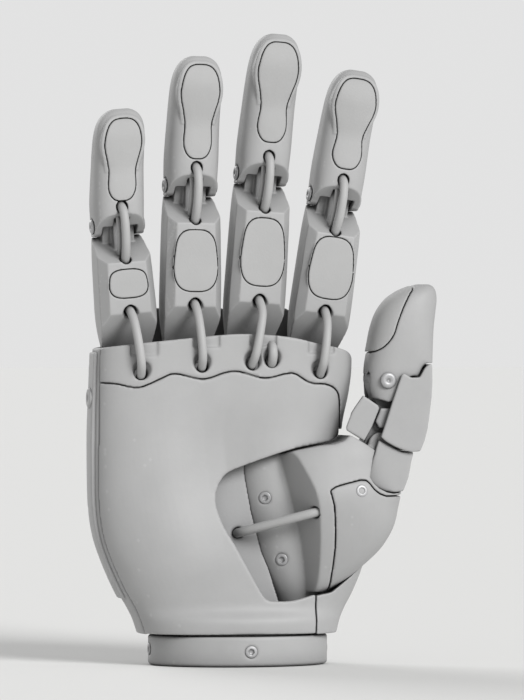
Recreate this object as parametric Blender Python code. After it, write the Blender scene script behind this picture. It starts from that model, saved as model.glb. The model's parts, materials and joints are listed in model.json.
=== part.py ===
"""Right-hand prosthesis: hollow palm on an oval wrist cuff, four tendon-driven fingers and a thumb.

Shapes are worked out in millimetres and placed in metres. +Z points to the fingertips, the palm
faces -Y and the thumb is on the +X side. The origin is the centre of the cuff's lower face.
Fingers are built in a frame of their own: x along the hinge, -y out of the palm side, z to the
tip, with the origin on the middle (PIP) hinge.
"""

import math

import bmesh
import bpy
from mathutils import Matrix, Vector

MM = 0.001
GAP = 0.35  # clearance between neighbouring pieces
ROWS_PER_GAP = 1  # lofted rows between two stations
BACK_POINTS = 8  # facets across the rounded back of a finger
SECTION_POINTS = 24  # facets around a section of the palm or the thumb
ROUND = 10  # sides of a small round piece
PAD_POINTS = 20  # points around the outline of a finger pad
CORD_POINTS = 2  # points between two stations of a cord's route

# Wrist cuff
CUFF_HALF_WIDTH = 29.5
CUFF_HALF_DEPTH = 22.0
CUFF_HEIGHT = 9.5
CUFF_WALL = 3.0
CUFF_FLOOR = 2.5
CUFF_SIDES = 40

# Palm: height, ulnar side x, radial side x, palm side depth, back depth, squareness
PALM_STATIONS = [
    (10.0, -33.1, 32.5, 20.6, 20.6, 2.3),
    (14.5, -34.6, 33.6, 21.0, 20.2, 2.3),
    (18.5, -36.6, 35.4, 18.8, 19.2, 2.35),
    (24.0, -39.8, 38.3, 18.8, 18.4, 2.4),
    (33.0, -43.8, 41.6, 19.4, 18.0, 2.55),
    (42.0, -46.8, 42.0, 19.0, 17.6, 2.7),
    (52.0, -48.2, 40.0, 18.0, 17.0, 2.8),
    (64.0, -48.5, 35.6, 16.4, 16.4, 2.9),
    (76.0, -48.5, 34.2, 15.0, 15.6, 3.0),
    (88.0, -48.0, 36.3, 14.2, 15.0, 3.5),
    (97.0, -47.6, 37.2, 13.7, 14.6, 4.0),
    (109.0, -47.2, 36.9, 13.2, 14.2, 4.0),
]
PALM_WALL = 2.2
CUP_DEPTH = 3.4
CUP_AT = (-8.0, 60.0)
CUP_SPREAD = (15.0, 24.0)
SPLIT_ULNAR = -6.5
SPLIT_RADIAL = 4.0
KNUCKLE_LINE = [
    (-52.0, 97.0), (-47.8, 101.6), (-45.6, 103.0), (-23.7, 105.5), (-2.0, 107.4),
    (13.3, 106.6), (23.3, 104.6), (32.6, 102.6), (36.4, 100.4), (40.0, 94.0),
]
SEAM_LINE = [
    (-52.0, 91.6), (-43.2, 91.4), (-35.2, 90.1), (-27.5, 93.2), (-23.2, 94.5), (-14.1, 92.8),
    (-6.8, 94.9), (-2.1, 95.2), (6.0, 93.1), (13.2, 94.5), (16.5, 94.4), (21.5, 91.6),
    (27.2, 91.0), (30.6, 89.1), (31.9, 85.5), (32.4, 76.0),
]
THENAR_EDGE = [
    (60.0, 78.0), (33.6, 77.4), (32.6, 75.4), (30.6, 73.4), (27.4, 72.2), (16.7, 70.3),
    (7.7, 67.7), (-3.5, 63.6), (-6.9, 61.6), (-9.2, 58.4), (-10.2, 54.6), (-9.8, 50.6),
    (-7.7, 44.7), (-4.5, 39.2), (-0.3, 31.3), (3.4, 24.6), (5.4, 21.9), (7.8, 20.9),
    (14.7, 20.9), (22.6, 22.9), (22.6, 23.0), (60.0, 23.0),
]
WRIST_COVER_TOP = [(22.9, 22.3), (29.0, 23.2), (35.5, 27.9), (41.0, 32.4), (52.0, 41.0)]
WRIST_COVER_LEFT = 22.9
RAIL_STEP = 1.1
RAIL_BOTTOM = 21.5
RAIL_DEPTH = (-4.6, 4.2)
BOSS_HEIGHT = 86.5
BOSS_RADIUS = 3.4

# Fingers: hinge spots in mm, lean in degrees
KNUCKLE_DEPTH = -6.0  # the knuckle hinge is this far to the palm side
FINGER_TURN = 4.0  # every finger is turned this much towards the thumb
FINGERS = {
    "little": {
        "pip": (-40.0, 0.0, 142.8), "proximal": 42.4, "distal": 37.5, "tilt": -4.8, "lean": 5.5,
        "pad": (-24.0, -14.4, 6.6, 6.4), "tip_pad": (7.5, 34.4, 5.4, 4.6, 6.5), "hole": (-34.4, 95.0),
    },
    "ring": {
        "pip": (-15.9, 0.0, 155.7), "proximal": 52.9, "distal": 42.1, "tilt": 0.6, "lean": 2.2,
        "pad": (-34.7, -14.3, 7.6, 7.1), "tip_pad": (8.4, 39.4, 5.5, 4.6, 6.8), "hole": (-14.4, 97.4),
    },
    "middle": {
        "pip": (7.8, 0.0, 159.5), "proximal": 55.5, "distal": 46.0, "tilt": 3.8, "lean": 2.4,
        "pad": (-36.7, -14.2, 7.6, 7.1), "tip_pad": (10.2, 43.4, 5.8, 4.5, 7.1), "hole": (2.3, 98.1),
    },
    "index": {
        "pip": (32.2, 0.0, 152.1), "proximal": 51.8, "distal": 42.1, "tilt": 8.0, "lean": 1.4,
        "pad": (-33.6, -13.0, 7.7, 7.2), "tip_pad": (9.2, 39.4, 5.9, 4.5, 7.2), "hole": (25.0, 95.3),
    },
}
FINGER_DEPTH = 8.5  # half thickness
FINGER_BEVEL = 2.7
DRUM_RADIUS = FINGER_DEPTH - KNUCKLE_DEPTH  # rounded heel of the first phalanx
HEEL = 5.5
HEEL_HALF = 8.0
CREASE = 13.5  # height of the palm-side crease above the knuckle hinge
CHAMFER = math.tan(math.radians(39.0))
LUG_RADIUS = 3.0
LUG_HALF = 3.0
FORK_OUTER = 5.2
PIN_RADIUS = 1.0
PIN_HOLE = 1.35
SHOULDER = -3.4
BROW = (-8.0, -11.9)  # lower edge of the sloping brow below the middle hinge
EAR_RADIUS = 3.05
EAR_HALF = 8.4
ARCH = (-8.5, 3.5)  # lower edge of the fingertip's palm-side wall
TONGUE_HALF = 2.2
DOME_RADIUS = 7.0
DOME_HALF = 5.4
HOLLOW_RADIUS = 7.4
HOLLOW_HALF = 5.8
HOLLOW_END = 113.0  # the dome's room ends here, in degrees from the back
HOLLOW_FRONT = [(-1.9, 0.75), (-7.4, -1.5), (-12.0, -3.4)]  # depth, height of the wall before the dome
PAD_STEP = 0.45
PAD_SINK = 1.2
PAD_BACK = -3.0
PAD_WAIST = -0.3  # height of the waist, from -1 at the bottom of the pad to 1 at its top
PEG_X = 8.7  # the short tendon end beside the middle finger's cord
CORD_RADIUS = 1.4
CORD_HOLE = 2.0

# Thumb: the rotor turns about a leaning axle
AXLE_POINT = Vector((13.8, 2.9, 50.0))
AXLE_DIRECTION = Vector((-0.3, 0.0, 0.954)).normalized()
BARREL = [(-31.0, 10.8), (-24.3, 12.4), (-17.5, 13.4), (-11.0, 13.9), (-4.2, 13.7), (2.7, 13.4),
          (14.4, 12.4), (19.6, 11.4), (24.0, 10.2)]
FACE_POINT = Vector((17.5, -10.6, 44.3))  # on the line where the flat inner face meets the drum
FACE_EDGE = Vector((-0.194, 0.0, 0.981))
FACE_DIRECTION = Vector((0.43, -0.9, 0.0))
THUMB_PLANE = -8.0
MCP_PIVOT = Vector((45.0, THUMB_PLANE, 70.9))
IP_PIVOT = Vector((46.7, THUMB_PLANE, 92.3))

COLOURS = {
    "shell": ((0.42, 0.42, 0.42, 1.0), 0.55, 0.0),
    "frame": ((0.36, 0.36, 0.37, 1.0), 0.5, 0.1),
    "pad": ((0.46, 0.46, 0.46, 1.0), 0.7, 0.0),
    "steel": ((0.5, 0.5, 0.5, 1.0), 0.35, 0.8),
    "cord": ((0.44, 0.44, 0.44, 1.0), 0.6, 0.0),
    "motor": ((0.3, 0.3, 0.32, 1.0), 0.4, 0.6),
}


# ---------------------------------------------------------------- building blocks


def clear_scene():
    for item in list(bpy.data.objects):
        bpy.data.objects.remove(item)


def solid(name, points, faces):
    """A closed mesh object in millimetres, with its faces turned outwards."""
    mesh = bpy.data.meshes.new(name)
    mesh.from_pydata([tuple(p) for p in points], [], faces)
    made = bmesh.new()
    made.from_mesh(mesh)
    bmesh.ops.recalc_face_normals(made, faces=made.faces)
    made.to_mesh(mesh)
    made.free()
    item = bpy.data.objects.new(name, mesh)
    bpy.context.collection.objects.link(item)
    return item


def refine(stations, per_gap=ROWS_PER_GAP):
    """Smooth rows through the stations: a Catmull-Rom curve through every column."""
    rows = []
    last = len(stations) - 1
    for index in range(last):
        a, b = stations[max(index - 1, 0)], stations[index]
        c, d = stations[index + 1], stations[min(index + 2, last)]
        for step in range(per_gap):
            t = step / per_gap
            rows.append(tuple(
                0.5 * (2 * q + (r - p) * t + (2 * p - 5 * q + 4 * r - s) * t * t
                       + (3 * q - p - 3 * r + s) * t ** 3)
                for p, q, r, s in zip(a, b, c, d)
            ))
    rows.append(tuple(stations[last]))
    return rows


def loft(name, rings):
    """A skin over rings of equal point count, closed by a flat face at each end."""
    count = len(rings[0])
    points = [point for ring in rings for point in ring]
    faces = [list(range(count)), [count * (len(rings) - 1) + k for k in range(count)]]
    for row in range(len(rings) - 1):
        for k in range(count):
            a = row * count + k
            b = row * count + (k + 1) % count
            faces.append([a, b, b + count, a + count])
    return solid(name, points, faces)


def prism(name, outline, along, low, high):
    """A flat outline pulled along x, y or z between two levels."""
    place = {
        "x": lambda u, v, w: (w, u, v),
        "y": lambda u, v, w: (u, w, v),
        "z": lambda u, v, w: (u, v, w),
    }[along]
    rings = [[place(u, v, level) for u, v in outline] for level in (low, high)]
    return loft(name, rings)


def box(name, low, high):
    outline = [(low[0], low[1]), (high[0], low[1]), (high[0], high[1]), (low[0], high[1])]
    return prism(name, outline, "z", low[2], high[2])


def circle(centre, radius, start=0.0, end=360.0, sides=ROUND):
    """Points on an arc in a plane; a full turn leaves out its last point."""
    whole = abs(end - start) >= 360.0
    count = sides if whole else max(2, round(sides * abs(end - start) / 360.0) + 1)
    steps = count if whole else count - 1
    turns = [math.radians(start + (end - start) * k / steps) for k in range(count)]
    return [(centre[0] + radius * math.cos(a), centre[1] + radius * math.sin(a)) for a in turns]


def rod(name, start, end, radius, sides=ROUND):
    """A round bar between two points."""
    start, end = Vector(start), Vector(end)
    along = (end - start).normalized()
    side = along.orthogonal().normalized()
    other = along.cross(side)
    turns = [2 * math.pi * (k + 0.5) / sides for k in range(sides)]
    rings = [
        [spot + side * radius * math.cos(a) + other * radius * math.sin(a) for a in turns]
        for spot in (start, end)
    ]
    return loft(name, rings)


def turned(name, profile, point, direction, sides=SECTION_POINTS):
    """A turned solid: profile rows are (distance along the axis, radius)."""
    side = Vector((0.0, 1.0, 0.0))
    other = direction.cross(side).normalized()
    turns = [2 * math.pi * k / sides for k in range(sides)]
    rings = [
        [point + direction * s + (side * math.cos(a) + other * math.sin(a)) * r for a in turns]
        for s, r in profile
    ]
    return loft(name, rings)


def combine(body, tool, operation):
    """Boolean of two solids; the tool is used up."""
    change = body.modifiers.new("change", "BOOLEAN")
    change.operation = operation
    change.object = tool
    bpy.context.view_layer.update()
    graph = bpy.context.evaluated_depsgraph_get()
    result = bpy.data.meshes.new_from_object(body.evaluated_get(graph))
    body.modifiers.clear()
    body.data = result
    bpy.data.objects.remove(tool)
    return body


def cut(body, tool):
    return combine(body, tool, "DIFFERENCE")


def add(body, tool):
    return combine(body, tool, "UNION")


def keep(body, tool):
    return combine(body, tool, "INTERSECT")


def material(kind):
    """The material of a kind of piece, made once."""
    if kind in bpy.data.materials:
        return bpy.data.materials[kind]
    colour, roughness, metallic = COLOURS[kind]
    made = bpy.data.materials.new(kind)
    made.use_nodes = True
    shader = made.node_tree.nodes["Principled BSDF"]
    shader.inputs["Base Color"].default_value = colour
    shader.inputs["Roughness"].default_value = roughness
    shader.inputs["Metallic"].default_value = metallic
    return made


def tidy(item):
    """Drops the slivers that Booleans leave."""
    made = bmesh.new()
    made.from_mesh(item.data)
    bmesh.ops.remove_doubles(made, verts=made.verts, dist=0.002)
    made.to_mesh(item.data)
    made.free()


def place(item, kind, hinge=(0.0, 0.0, 0.0), frame=None):
    """Sets a finished piece into the model in metres, with its origin on its hinge."""
    tidy(item)
    hinge = Vector(hinge)
    item.data.transform(Matrix.Scale(MM, 4) @ Matrix.Translation(-hinge))
    frame = frame or Matrix.Identity(4)
    spot = frame @ hinge
    item.matrix_world = Matrix.Translation(spot * MM) @ frame.to_3x3().to_4x4()
    item.data.materials.clear()
    item.data.materials.append(material(kind))
    item.data.shade_smooth()
    item.data.set_sharp_from_angle(angle=math.radians(32.0))
    return item


def cord(name, route, radius, hinge=(0.0, 0.0, 0.0)):
    """A round cord through world points in millimetres, as a bevelled curve."""
    points = refine(route, CORD_POINTS)
    curve = bpy.data.curves.new(name, "CURVE")
    curve.dimensions = "3D"
    curve.bevel_depth = radius * MM
    curve.bevel_resolution = 2
    curve.use_fill_caps = True
    line = curve.splines.new("POLY")
    line.points.add(len(points) - 1)
    for spot, point in zip(line.points, points):
        spot.co = (*((Vector(point) - Vector(hinge)) * MM), 1.0)
    curve.materials.append(material("cord"))
    item = bpy.data.objects.new(name, curve)
    item.location = Vector(hinge) * MM
    bpy.context.collection.objects.link(item)
    return item


def power(value, exponent):
    return math.copysign(abs(value) ** exponent, value)


# ---------------------------------------------------------------- sections


def oval(left, right, front, back, squareness, z, grow=0.0, centre_y=0.0):
    """A rounded section between two sides, deeper to the front or to the back."""
    middle = (left + right) / 2
    half = (right - left) / 2 + grow
    ring = []
    for k in range(SECTION_POINTS):
        a = 2 * math.pi * k / SECTION_POINTS
        x = middle + half * power(math.cos(a), 2 / squareness)
        depth = (back if math.sin(a) > 0 else front) + grow
        ring.append(Vector((x, centre_y + depth * power(math.sin(a), 2 / squareness), z)))
    return ring


def palm_rings(grow=0.0):
    """The palm's sections, with the cupped hollow pressed into the palm side."""
    rings = []
    for z, left, right, front, back, squareness in refine(PALM_STATIONS):
        ring = oval(left, right, front, back, squareness, z, grow)
        for spot in ring:
            if spot.y < 0:
                u = (spot.x - CUP_AT[0]) / CUP_SPREAD[0]
                v = (z - CUP_AT[1]) / CUP_SPREAD[1]
                spot.y += CUP_DEPTH * math.exp(-u * u - v * v)
        rings.append(ring)
    return rings


def palm_loft(name, grow=0.0):
    return loft(name, palm_rings(grow))


def palm_hollow():
    """The inside of the palm's shell, open at the wrist and past the knuckles."""
    rings = palm_rings(-PALM_WALL)
    lower = [point - Vector((0.0, 0.0, 2.0)) for point in rings[0]]
    upper = [point + Vector((0.0, 0.0, 2.0)) for point in rings[-1]]
    return loft("palm_hollow", [lower, *rings, upper])


def finger_ring(half_width, palmar, dorsal, bevel, shift, z, grow=0.0):
    """A section of a finger: flat palm side, bevelled edges, straight sides, round back."""
    half_width, palmar, dorsal = half_width + grow, palmar + grow, dorsal + grow
    bevel += 0.59 * grow
    middle = (dorsal - palmar) / 2
    rise = min(1.15 * bevel, 0.8 * (middle + palmar))
    ring = [(bevel - half_width, -palmar), (half_width - bevel, -palmar), (half_width, rise - palmar)]
    for k in range(BACK_POINTS + 1):
        a = math.pi * k / BACK_POINTS
        ring.append((half_width * power(math.cos(a), 0.8),
                     middle + (dorsal - middle) * power(math.sin(a), 0.8)))
    ring.append((-half_width, rise - palmar))
    return [Vector((x + shift, y, z)) for x, y in ring]


def proximal_stations(length):
    """(z, half width, palm side, back, bevel, sideways shift) of a first phalanx."""
    rows = []
    for drop in (HEEL, 3.6, 1.6):
        back = KNUCKLE_DEPTH + math.sqrt(DRUM_RADIUS ** 2 - drop ** 2)
        rows.append((-length - drop, HEEL_HALF, FINGER_DEPTH, back, FINGER_BEVEL, 0.0))
    rows.append((-length + 1.0, HEEL_HALF, FINGER_DEPTH, FINGER_DEPTH, FINGER_BEVEL, 0.0))
    rows.append((-length + 7.6, 9.1, FINGER_DEPTH, FINGER_DEPTH, FINGER_BEVEL, 0.0))
    rows.append((-length + CREASE, 9.5, FINGER_DEPTH, FINGER_DEPTH, FINGER_BEVEL, 0.0))
    rows.append((-length * 0.5 - 2.0, 9.4, FINGER_DEPTH + 0.2, FINGER_DEPTH, FINGER_BEVEL, 0.0))
    rows.append((-11.0, 9.0, FINGER_DEPTH, FINGER_DEPTH, FINGER_BEVEL, 0.0))
    rows.append((SHOULDER + 0.6, EAR_HALF, FINGER_DEPTH, FINGER_DEPTH, FINGER_BEVEL, 0.0))
    return rows


def distal_stations(length, lean):
    """The same columns for a fingertip, which curls to the palm side and leans sideways."""
    shape = [
        (-3.8 / length, EAR_HALF, 8.5, 8.5, 2.7), (0.03, EAR_HALF, 8.5, 8.5, 2.7),
        (0.20, 8.6, 8.4, 8.4, 2.9), (0.36, 8.5, 8.0, 8.0, 3.2), (0.50, 8.4, 7.8, 7.2, 3.6),
        (0.64, 8.4, 8.2, 6.1, 4.0), (0.77, 8.3, 8.6, 4.6, 4.4), (0.87, 7.7, 8.2, 2.8, 4.4),
        (0.94, 6.4, 7.2, 1.1, 3.5), (0.98, 4.6, 6.2, -0.4, 2.2), (1.0, 2.6, 5.2, -1.6, 1.2),
    ]
    bend = math.tan(math.radians(lean))
    return [
        (t * length, half, palmar, dorsal, bevel, max(t * length - 4.0, 0.0) * bend)
        for t, half, palmar, dorsal, bevel in shape
    ]


def finger_loft(name, stations, grow=0.0):
    rings = [
        finger_ring(half, palmar, dorsal, bevel, shift, z, grow)
        for z, half, palmar, dorsal, bevel, shift in refine(stations)
    ]
    return loft(name, rings)


def pad_outline(bottom, top, bottom_half, waist_half, top_half, lean=0.0, inset=0.0):
    """A rounded pad seen from the front, narrower at its waist than at either end."""
    middle = (bottom + top) / 2
    height = (top - bottom) / 2 - inset
    bend = math.tan(math.radians(lean))
    outline = []
    for k in range(PAD_POINTS):
        a = 2 * math.pi * k / PAD_POINTS
        v = power(math.sin(a), 2 / 3.0)
        end_half, reach = (top_half, 0.75) if v > PAD_WAIST else (bottom_half, 0.5)
        swell = min(abs(v - PAD_WAIST) / reach, 1.0)
        swell = swell * swell * (3 - 2 * swell)
        half = waist_half + (end_half - waist_half) * swell - inset
        z = middle + height * v
        outline.append((half * power(math.cos(a), 2 / 3.0) + max(z - 4.0, 0.0) * bend, z))
    return outline


# ---------------------------------------------------------------- fingers


def finger_frame(finger):
    """World placement of a finger's own frame."""
    turn = Matrix.Rotation(math.radians(finger["tilt"]), 4, "Y")
    spin = Matrix.Rotation(math.radians(FINGER_TURN), 4, "Z")
    return Matrix.Translation(finger["pip"]) @ turn @ spin


def inlaid_pad(name, phalanx, stations, outline, inner):
    """A soft pad set into the palm side, and the pocket that it sits in."""
    pocket = prism("pocket", outline, "y", -20.0, PAD_BACK)
    cut(pocket, finger_loft("floor", stations, -PAD_SINK - GAP))
    cut(phalanx, pocket)
    pad = finger_loft(name, stations, PAD_STEP)
    keep(pad, prism("limit", inner, "y", -20.0, PAD_BACK))
    cut(pad, finger_loft("back", stations, -PAD_SINK))
    return pad


def hull(points):
    """The convex outline around points in a plane."""
    points = sorted(set(points))

    def half(run):
        line = []
        for p in run:
            while len(line) > 1 and ((line[-1][0] - line[-2][0]) * (p[1] - line[-2][1])
                                     - (line[-1][1] - line[-2][1]) * (p[0] - line[-2][0])) <= 0:
                line.pop()
            line.append(p)
        return line[:-1]

    return half(points) + half(points[::-1])


def proximal_phalanx(name, finger):
    length = finger["proximal"]
    stations = proximal_stations(length)
    body = finger_loft(name, stations)
    slope = (SHOULDER - BROW[1]) / (3.0 - BROW[0])
    profile = [
        (14.0, SHOULDER), (3.0, SHOULDER), (-14.0, SHOULDER - 17.0 * slope),
        (-14.0, -length + CREASE + (14.0 - FINGER_DEPTH) / CHAMFER),
        (-FINGER_DEPTH + (CREASE + 8.0) * CHAMFER, -length - 8.0), (14.0, -length - 8.0),
    ]
    bottom, top, bottom_half, top_half = finger["pad"]
    shape = (bottom, top, bottom_half, bottom_half, top_half)
    pad = inlaid_pad(f"{name[:-9]}_pad", body, stations, pad_outline(*shape),
                     pad_outline(*shape, inset=GAP))
    keep(body, prism("profile", profile, "x", -14.0, 14.0))
    knuckle = (KNUCKLE_DEPTH, -length)
    lug = hull(circle(knuckle, LUG_RADIUS) + [(4.0, -length + 8.0), (5.0, -length - 3.0)])
    add(body, prism("lug", lug, "x", -LUG_HALF, LUG_HALF))
    tongue = hull(circle((0.0, 0.0), 3.1) + [(-3.0, -9.0), (6.0, -9.0)])
    add(body, prism("tongue", tongue, "x", -TONGUE_HALF, TONGUE_HALF))
    dome = circle((0.0, 0.0), DOME_RADIUS, -55.0, 110.0, 24) + [(0.0, -6.0)]
    add(body, prism("dome", dome, "x", -DOME_HALF, DOME_HALF))
    cut(body, rod("bore", (-9.0, *knuckle), (9.0, *knuckle), PIN_HOLE))
    cut(body, rod("bore", (-9.0, 0.0, 0.0), (9.0, 0.0, 0.0), PIN_HOLE))
    entry = -length + CREASE + 0.6
    cut(body, rod("entry", (0.0, -14.0, entry - 3.0), (0.0, -1.0, entry + 3.6), CORD_HOLE))
    cut(body, rod("exit", (0.0, -12.0, -8.0), (0.0, -1.0, -15.5), CORD_HOLE))
    return body, pad


def distal_phalanx(name, finger):
    length = finger["distal"]
    stations = distal_stations(length, finger["lean"])
    body = finger_loft(name, stations)
    slope = (ARCH[1] + 1.6) / (ARCH[0] + 2.6)
    profile = [(14.0, -EAR_RADIUS)] + circle((0.0, 0.0), EAR_RADIUS, -90.0, -145.0, 24) + [
        ARCH, (-14.0, ARCH[1] + (-14.0 - ARCH[0]) * slope), (-14.0, length + 4.0),
        (14.0, length + 4.0),
    ]
    keep(body, prism("profile", profile, "x", -14.0, 14.0))
    below_hinge = [(-12.0, -9.0), (7.4, -9.0)]
    slot = circle((0.0, 0.0), HOLLOW_RADIUS, 0.0, 180.0, 24) + [(-12.0, 0.0)] + below_hinge
    cut(body, prism("slot", slot, "x", -TONGUE_HALF - GAP, TONGUE_HALF + GAP))
    cavity = circle((0.0, 0.0), HOLLOW_RADIUS, 0.0, HOLLOW_END, 18) + [*HOLLOW_FRONT] + below_hinge
    cut(body, prism("hollow", cavity, "x", -HOLLOW_HALF, HOLLOW_HALF))
    bottom, top, bottom_half, waist_half, top_half = finger["tip_pad"]
    shape = (bottom, top, bottom_half, waist_half, top_half, finger["lean"])
    pad = inlaid_pad(f"{name[:-7]}_tip_pad", body, stations, pad_outline(*shape),
                     pad_outline(*shape, inset=GAP))
    cut(body, rod("bore", (-12.0, 0.0, 0.0), (12.0, 0.0, 0.0), PIN_HOLE))
    cut(body, rod("entry", (0.0, -14.0, 3.4), (0.0, -2.5, 8.0), CORD_HOLE))
    return body, pad


def hinge_pin(name, centre, half_length, cap_radius=0.0, cap=0.6):
    """A round pin along x, with a flat cap outside each end where a radius is given."""
    end = half_length + (cap if cap_radius else 0.0)
    pin = rod(name, centre + Vector((-end, 0.0, 0.0)), centre + Vector((end, 0.0, 0.0)), PIN_RADIUS)
    if cap_radius:
        for side in (-1, 1):
            inner = centre + Vector((side * half_length, 0.0, 0.0))
            outer = centre + Vector((side * (half_length + cap + 0.2), 0.0, 0.0))
            add(pin, rod("cap", inner, outer, cap_radius, 16))
    return pin


def knuckle_cord(name, finger, frame, hinge):
    """The pull cord from its hole in the knuckle band up to the first phalanx."""
    x, z = finger["hole"]
    top = -finger["proximal"] + CREASE
    bend = frame @ Vector((0.0, -12.6, top - 3.6))
    hole = Vector((x, -12.8, z - 0.3))
    span = [hole.lerp(bend, t) + Vector((0.0, -bow, 0.0)) for t, bow in ((0.22, 2.6), (0.6, 2.4))]
    route = [
        (x, -10.2, z - 1.6), tuple(hole), *[tuple(point) for point in span], tuple(bend),
        tuple(frame @ Vector((0.0, -9.0, top + 0.0))), tuple(frame @ Vector((0.0, -5.2, top + 1.8))),
    ]
    return cord(name, route, CORD_RADIUS, hinge)


def middle_cord(name, frame, hinge):
    """The pull cord over the middle hinge, from the brow into the fingertip."""
    route = [(-3.6, -13.7), (-7.0, -11.2), (-9.4, -7.6), (-10.6, -2.8), (-10.7, 1.2), (-9.4, 4.6),
             (-5.4, 6.8)]
    return cord(name, [tuple(frame @ Vector((0.0, y, z))) for y, z in route], CORD_RADIUS, hinge)


def build_finger(name, finger):
    frame = finger_frame(finger)
    knuckle = Vector((0.0, KNUCKLE_DEPTH, -finger["proximal"]))
    middle = Vector((0.0, 0.0, 0.0))
    body, pad = proximal_phalanx(f"{name}_proximal", finger)
    place(body, "shell", knuckle, frame)
    place(pad, "pad", knuckle, frame)
    tip, tip_pad = distal_phalanx(f"{name}_distal", finger)
    place(tip, "shell", middle, frame)
    place(tip_pad, "pad", middle, frame)
    place(hinge_pin(f"{name}_knuckle_pin", knuckle, FORK_OUTER), "steel", knuckle, frame)
    place(hinge_pin(f"{name}_middle_pin", middle, EAR_HALF + GAP, 2.3), "steel", middle, frame)
    knuckle_cord(f"{name}_knuckle_cord", finger, frame, frame @ knuckle)
    middle_cord(f"{name}_middle_cord", frame, frame @ middle)


# ---------------------------------------------------------------- palm


def front_region():
    """The part of the plan that lies on the palm side of the shell's split."""
    outline = [(-60.0, -40.0), (70.0, -40.0), (70.0, SPLIT_RADIAL), (20.0, SPLIT_RADIAL),
               (-20.0, SPLIT_ULNAR), (-60.0, SPLIT_ULNAR)]
    return prism("front", outline, "z", 0.0, 130.0)


def palm_shell(name):
    shell = palm_loft(name)
    return cut(shell, palm_hollow())


def below(line, low):
    """The outline under a line, down to a level."""
    return [(line[0][0], low), *line, (line[-1][0], low)]


def above(line, high):
    return [(line[0][0], high), *line, (line[-1][0], high)]


def palm_cover():
    cover = palm_shell("palm_cover")
    keep(cover, front_region())
    seam = refine(SEAM_LINE)
    lowered = [(x, z - GAP / 2) for x, z in seam[:-2]] + [(x - GAP / 2, z) for x, z in seam[-2:]]
    keep(cover, prism("field", below(lowered, 10.0), "y", -40.0, 40.0))
    cut(cover, prism("opening", refine(THENAR_EDGE), "y", -40.0, 12.0))
    return cut(cover, box("side", (WRIST_COVER_LEFT - GAP, -40.0, 0.0), (70.0, 12.0, 30.0)))


def knuckle_band():
    band = palm_shell("knuckle_band")
    keep(band, front_region())
    keep(band, prism("field", below(refine(KNUCKLE_LINE), 60.0), "y", -40.0, 40.0))
    seam = refine(SEAM_LINE)
    raised = [(x, z + GAP / 2) for x, z in seam[:-2]] + [(x + GAP / 2, z) for x, z in seam[-2:]]
    cut(band, prism("lower", below(raised, 50.0), "y", -40.0, 40.0))
    cut(band, box("thumb_side", (25.0, -40.0, 40.0), (70.0, 20.0, 76.4)))
    for finger in FINGERS.values():
        x, z = finger["hole"]
        cut(band, rod("hole", (x, -20.0, z + 3.0), (x, -8.0, z - 2.4), CORD_HOLE))
    cut(band, rod("peg_hole", (PEG_X, -20.0, 101.6), (PEG_X, -8.0, 96.4), CORD_HOLE + 0.3))
    return band


def tendon_peg():
    route = [(PEG_X, -10.4, 97.6), (PEG_X, -12.6, 98.4), (PEG_X, -14.9, 99.8), (PEG_X, -15.6, 101.6),
             (PEG_X, -15.4, 103.8)]
    return cord("tendon_peg", route, 1.5)


def back_shell():
    shell = palm_shell("back_shell")
    front = [(-60.0, -40.0), (70.0, -40.0), (70.0, SPLIT_RADIAL + GAP), (20.0, SPLIT_RADIAL + GAP),
             (-20.0, SPLIT_ULNAR + GAP), (-60.0, SPLIT_ULNAR + GAP)]
    cut(shell, prism("front", front, "z", 0.0, 130.0))
    keep(shell, prism("field", below(refine(KNUCKLE_LINE), 10.0), "y", -40.0, 40.0))
    room = [(16.0, 78.6), (16.0, 26.0), *[(x, z + GAP) for x, z in WRIST_COVER_TOP[1:]],
            (70.0, 45.0), (70.0, 78.6)]
    return cut(shell, prism("thumb_room", room, "y", -40.0, 9.6))


def radial_wrist_cover():
    cover = palm_shell("radial_wrist_cover")
    keep(cover, front_region())
    outline = [(WRIST_COVER_LEFT, 10.0), *WRIST_COVER_TOP, (52.0, 10.0)]
    return keep(cover, prism("field", outline, "y", -40.0, 40.0))


def ulnar_rail():
    rail = palm_loft("ulnar_rail", RAIL_STEP)
    cut(rail, palm_loft("inside", GAP))
    keep(rail, box("field", (-60.0, RAIL_DEPTH[0], RAIL_BOTTOM), (-30.0, RAIL_DEPTH[1], 101.5)))
    boss = rod("boss", (-48.7, -0.6, BOSS_HEIGHT), (-50.1, -0.6, BOSS_HEIGHT), BOSS_RADIUS, 20)
    return add(rail, boss)


def cuff_ring(z, grow):
    turns = [2 * math.pi * k / CUFF_SIDES for k in range(CUFF_SIDES)]
    across, deep = CUFF_HALF_WIDTH + grow, CUFF_HALF_DEPTH + grow
    return [Vector((across * math.cos(a), deep * math.sin(a), z)) for a in turns]


def wrist_cuff():
    rings = [
        cuff_ring(z, grow)
        for z, grow in ((0.0, -0.4), (0.5, 0.0), (CUFF_HEIGHT - 0.5, 0.0), (CUFF_HEIGHT, -0.4))
    ]
    cuff = loft("wrist_cuff", rings)
    inside = [cuff_ring(z, -CUFF_WALL) for z in (CUFF_FLOOR, CUFF_HEIGHT + 1.0)]
    return cut(cuff, loft("inside", inside))


def grown_barrel(grow, reach=3.0):
    rows = [(s, r + grow) for s, r in BARREL]
    rows = [(rows[0][0] - reach, rows[0][1]), *rows, (rows[-1][0] + reach, rows[-1][1])]
    return turned("room", rows, AXLE_POINT, AXLE_DIRECTION)


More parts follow.
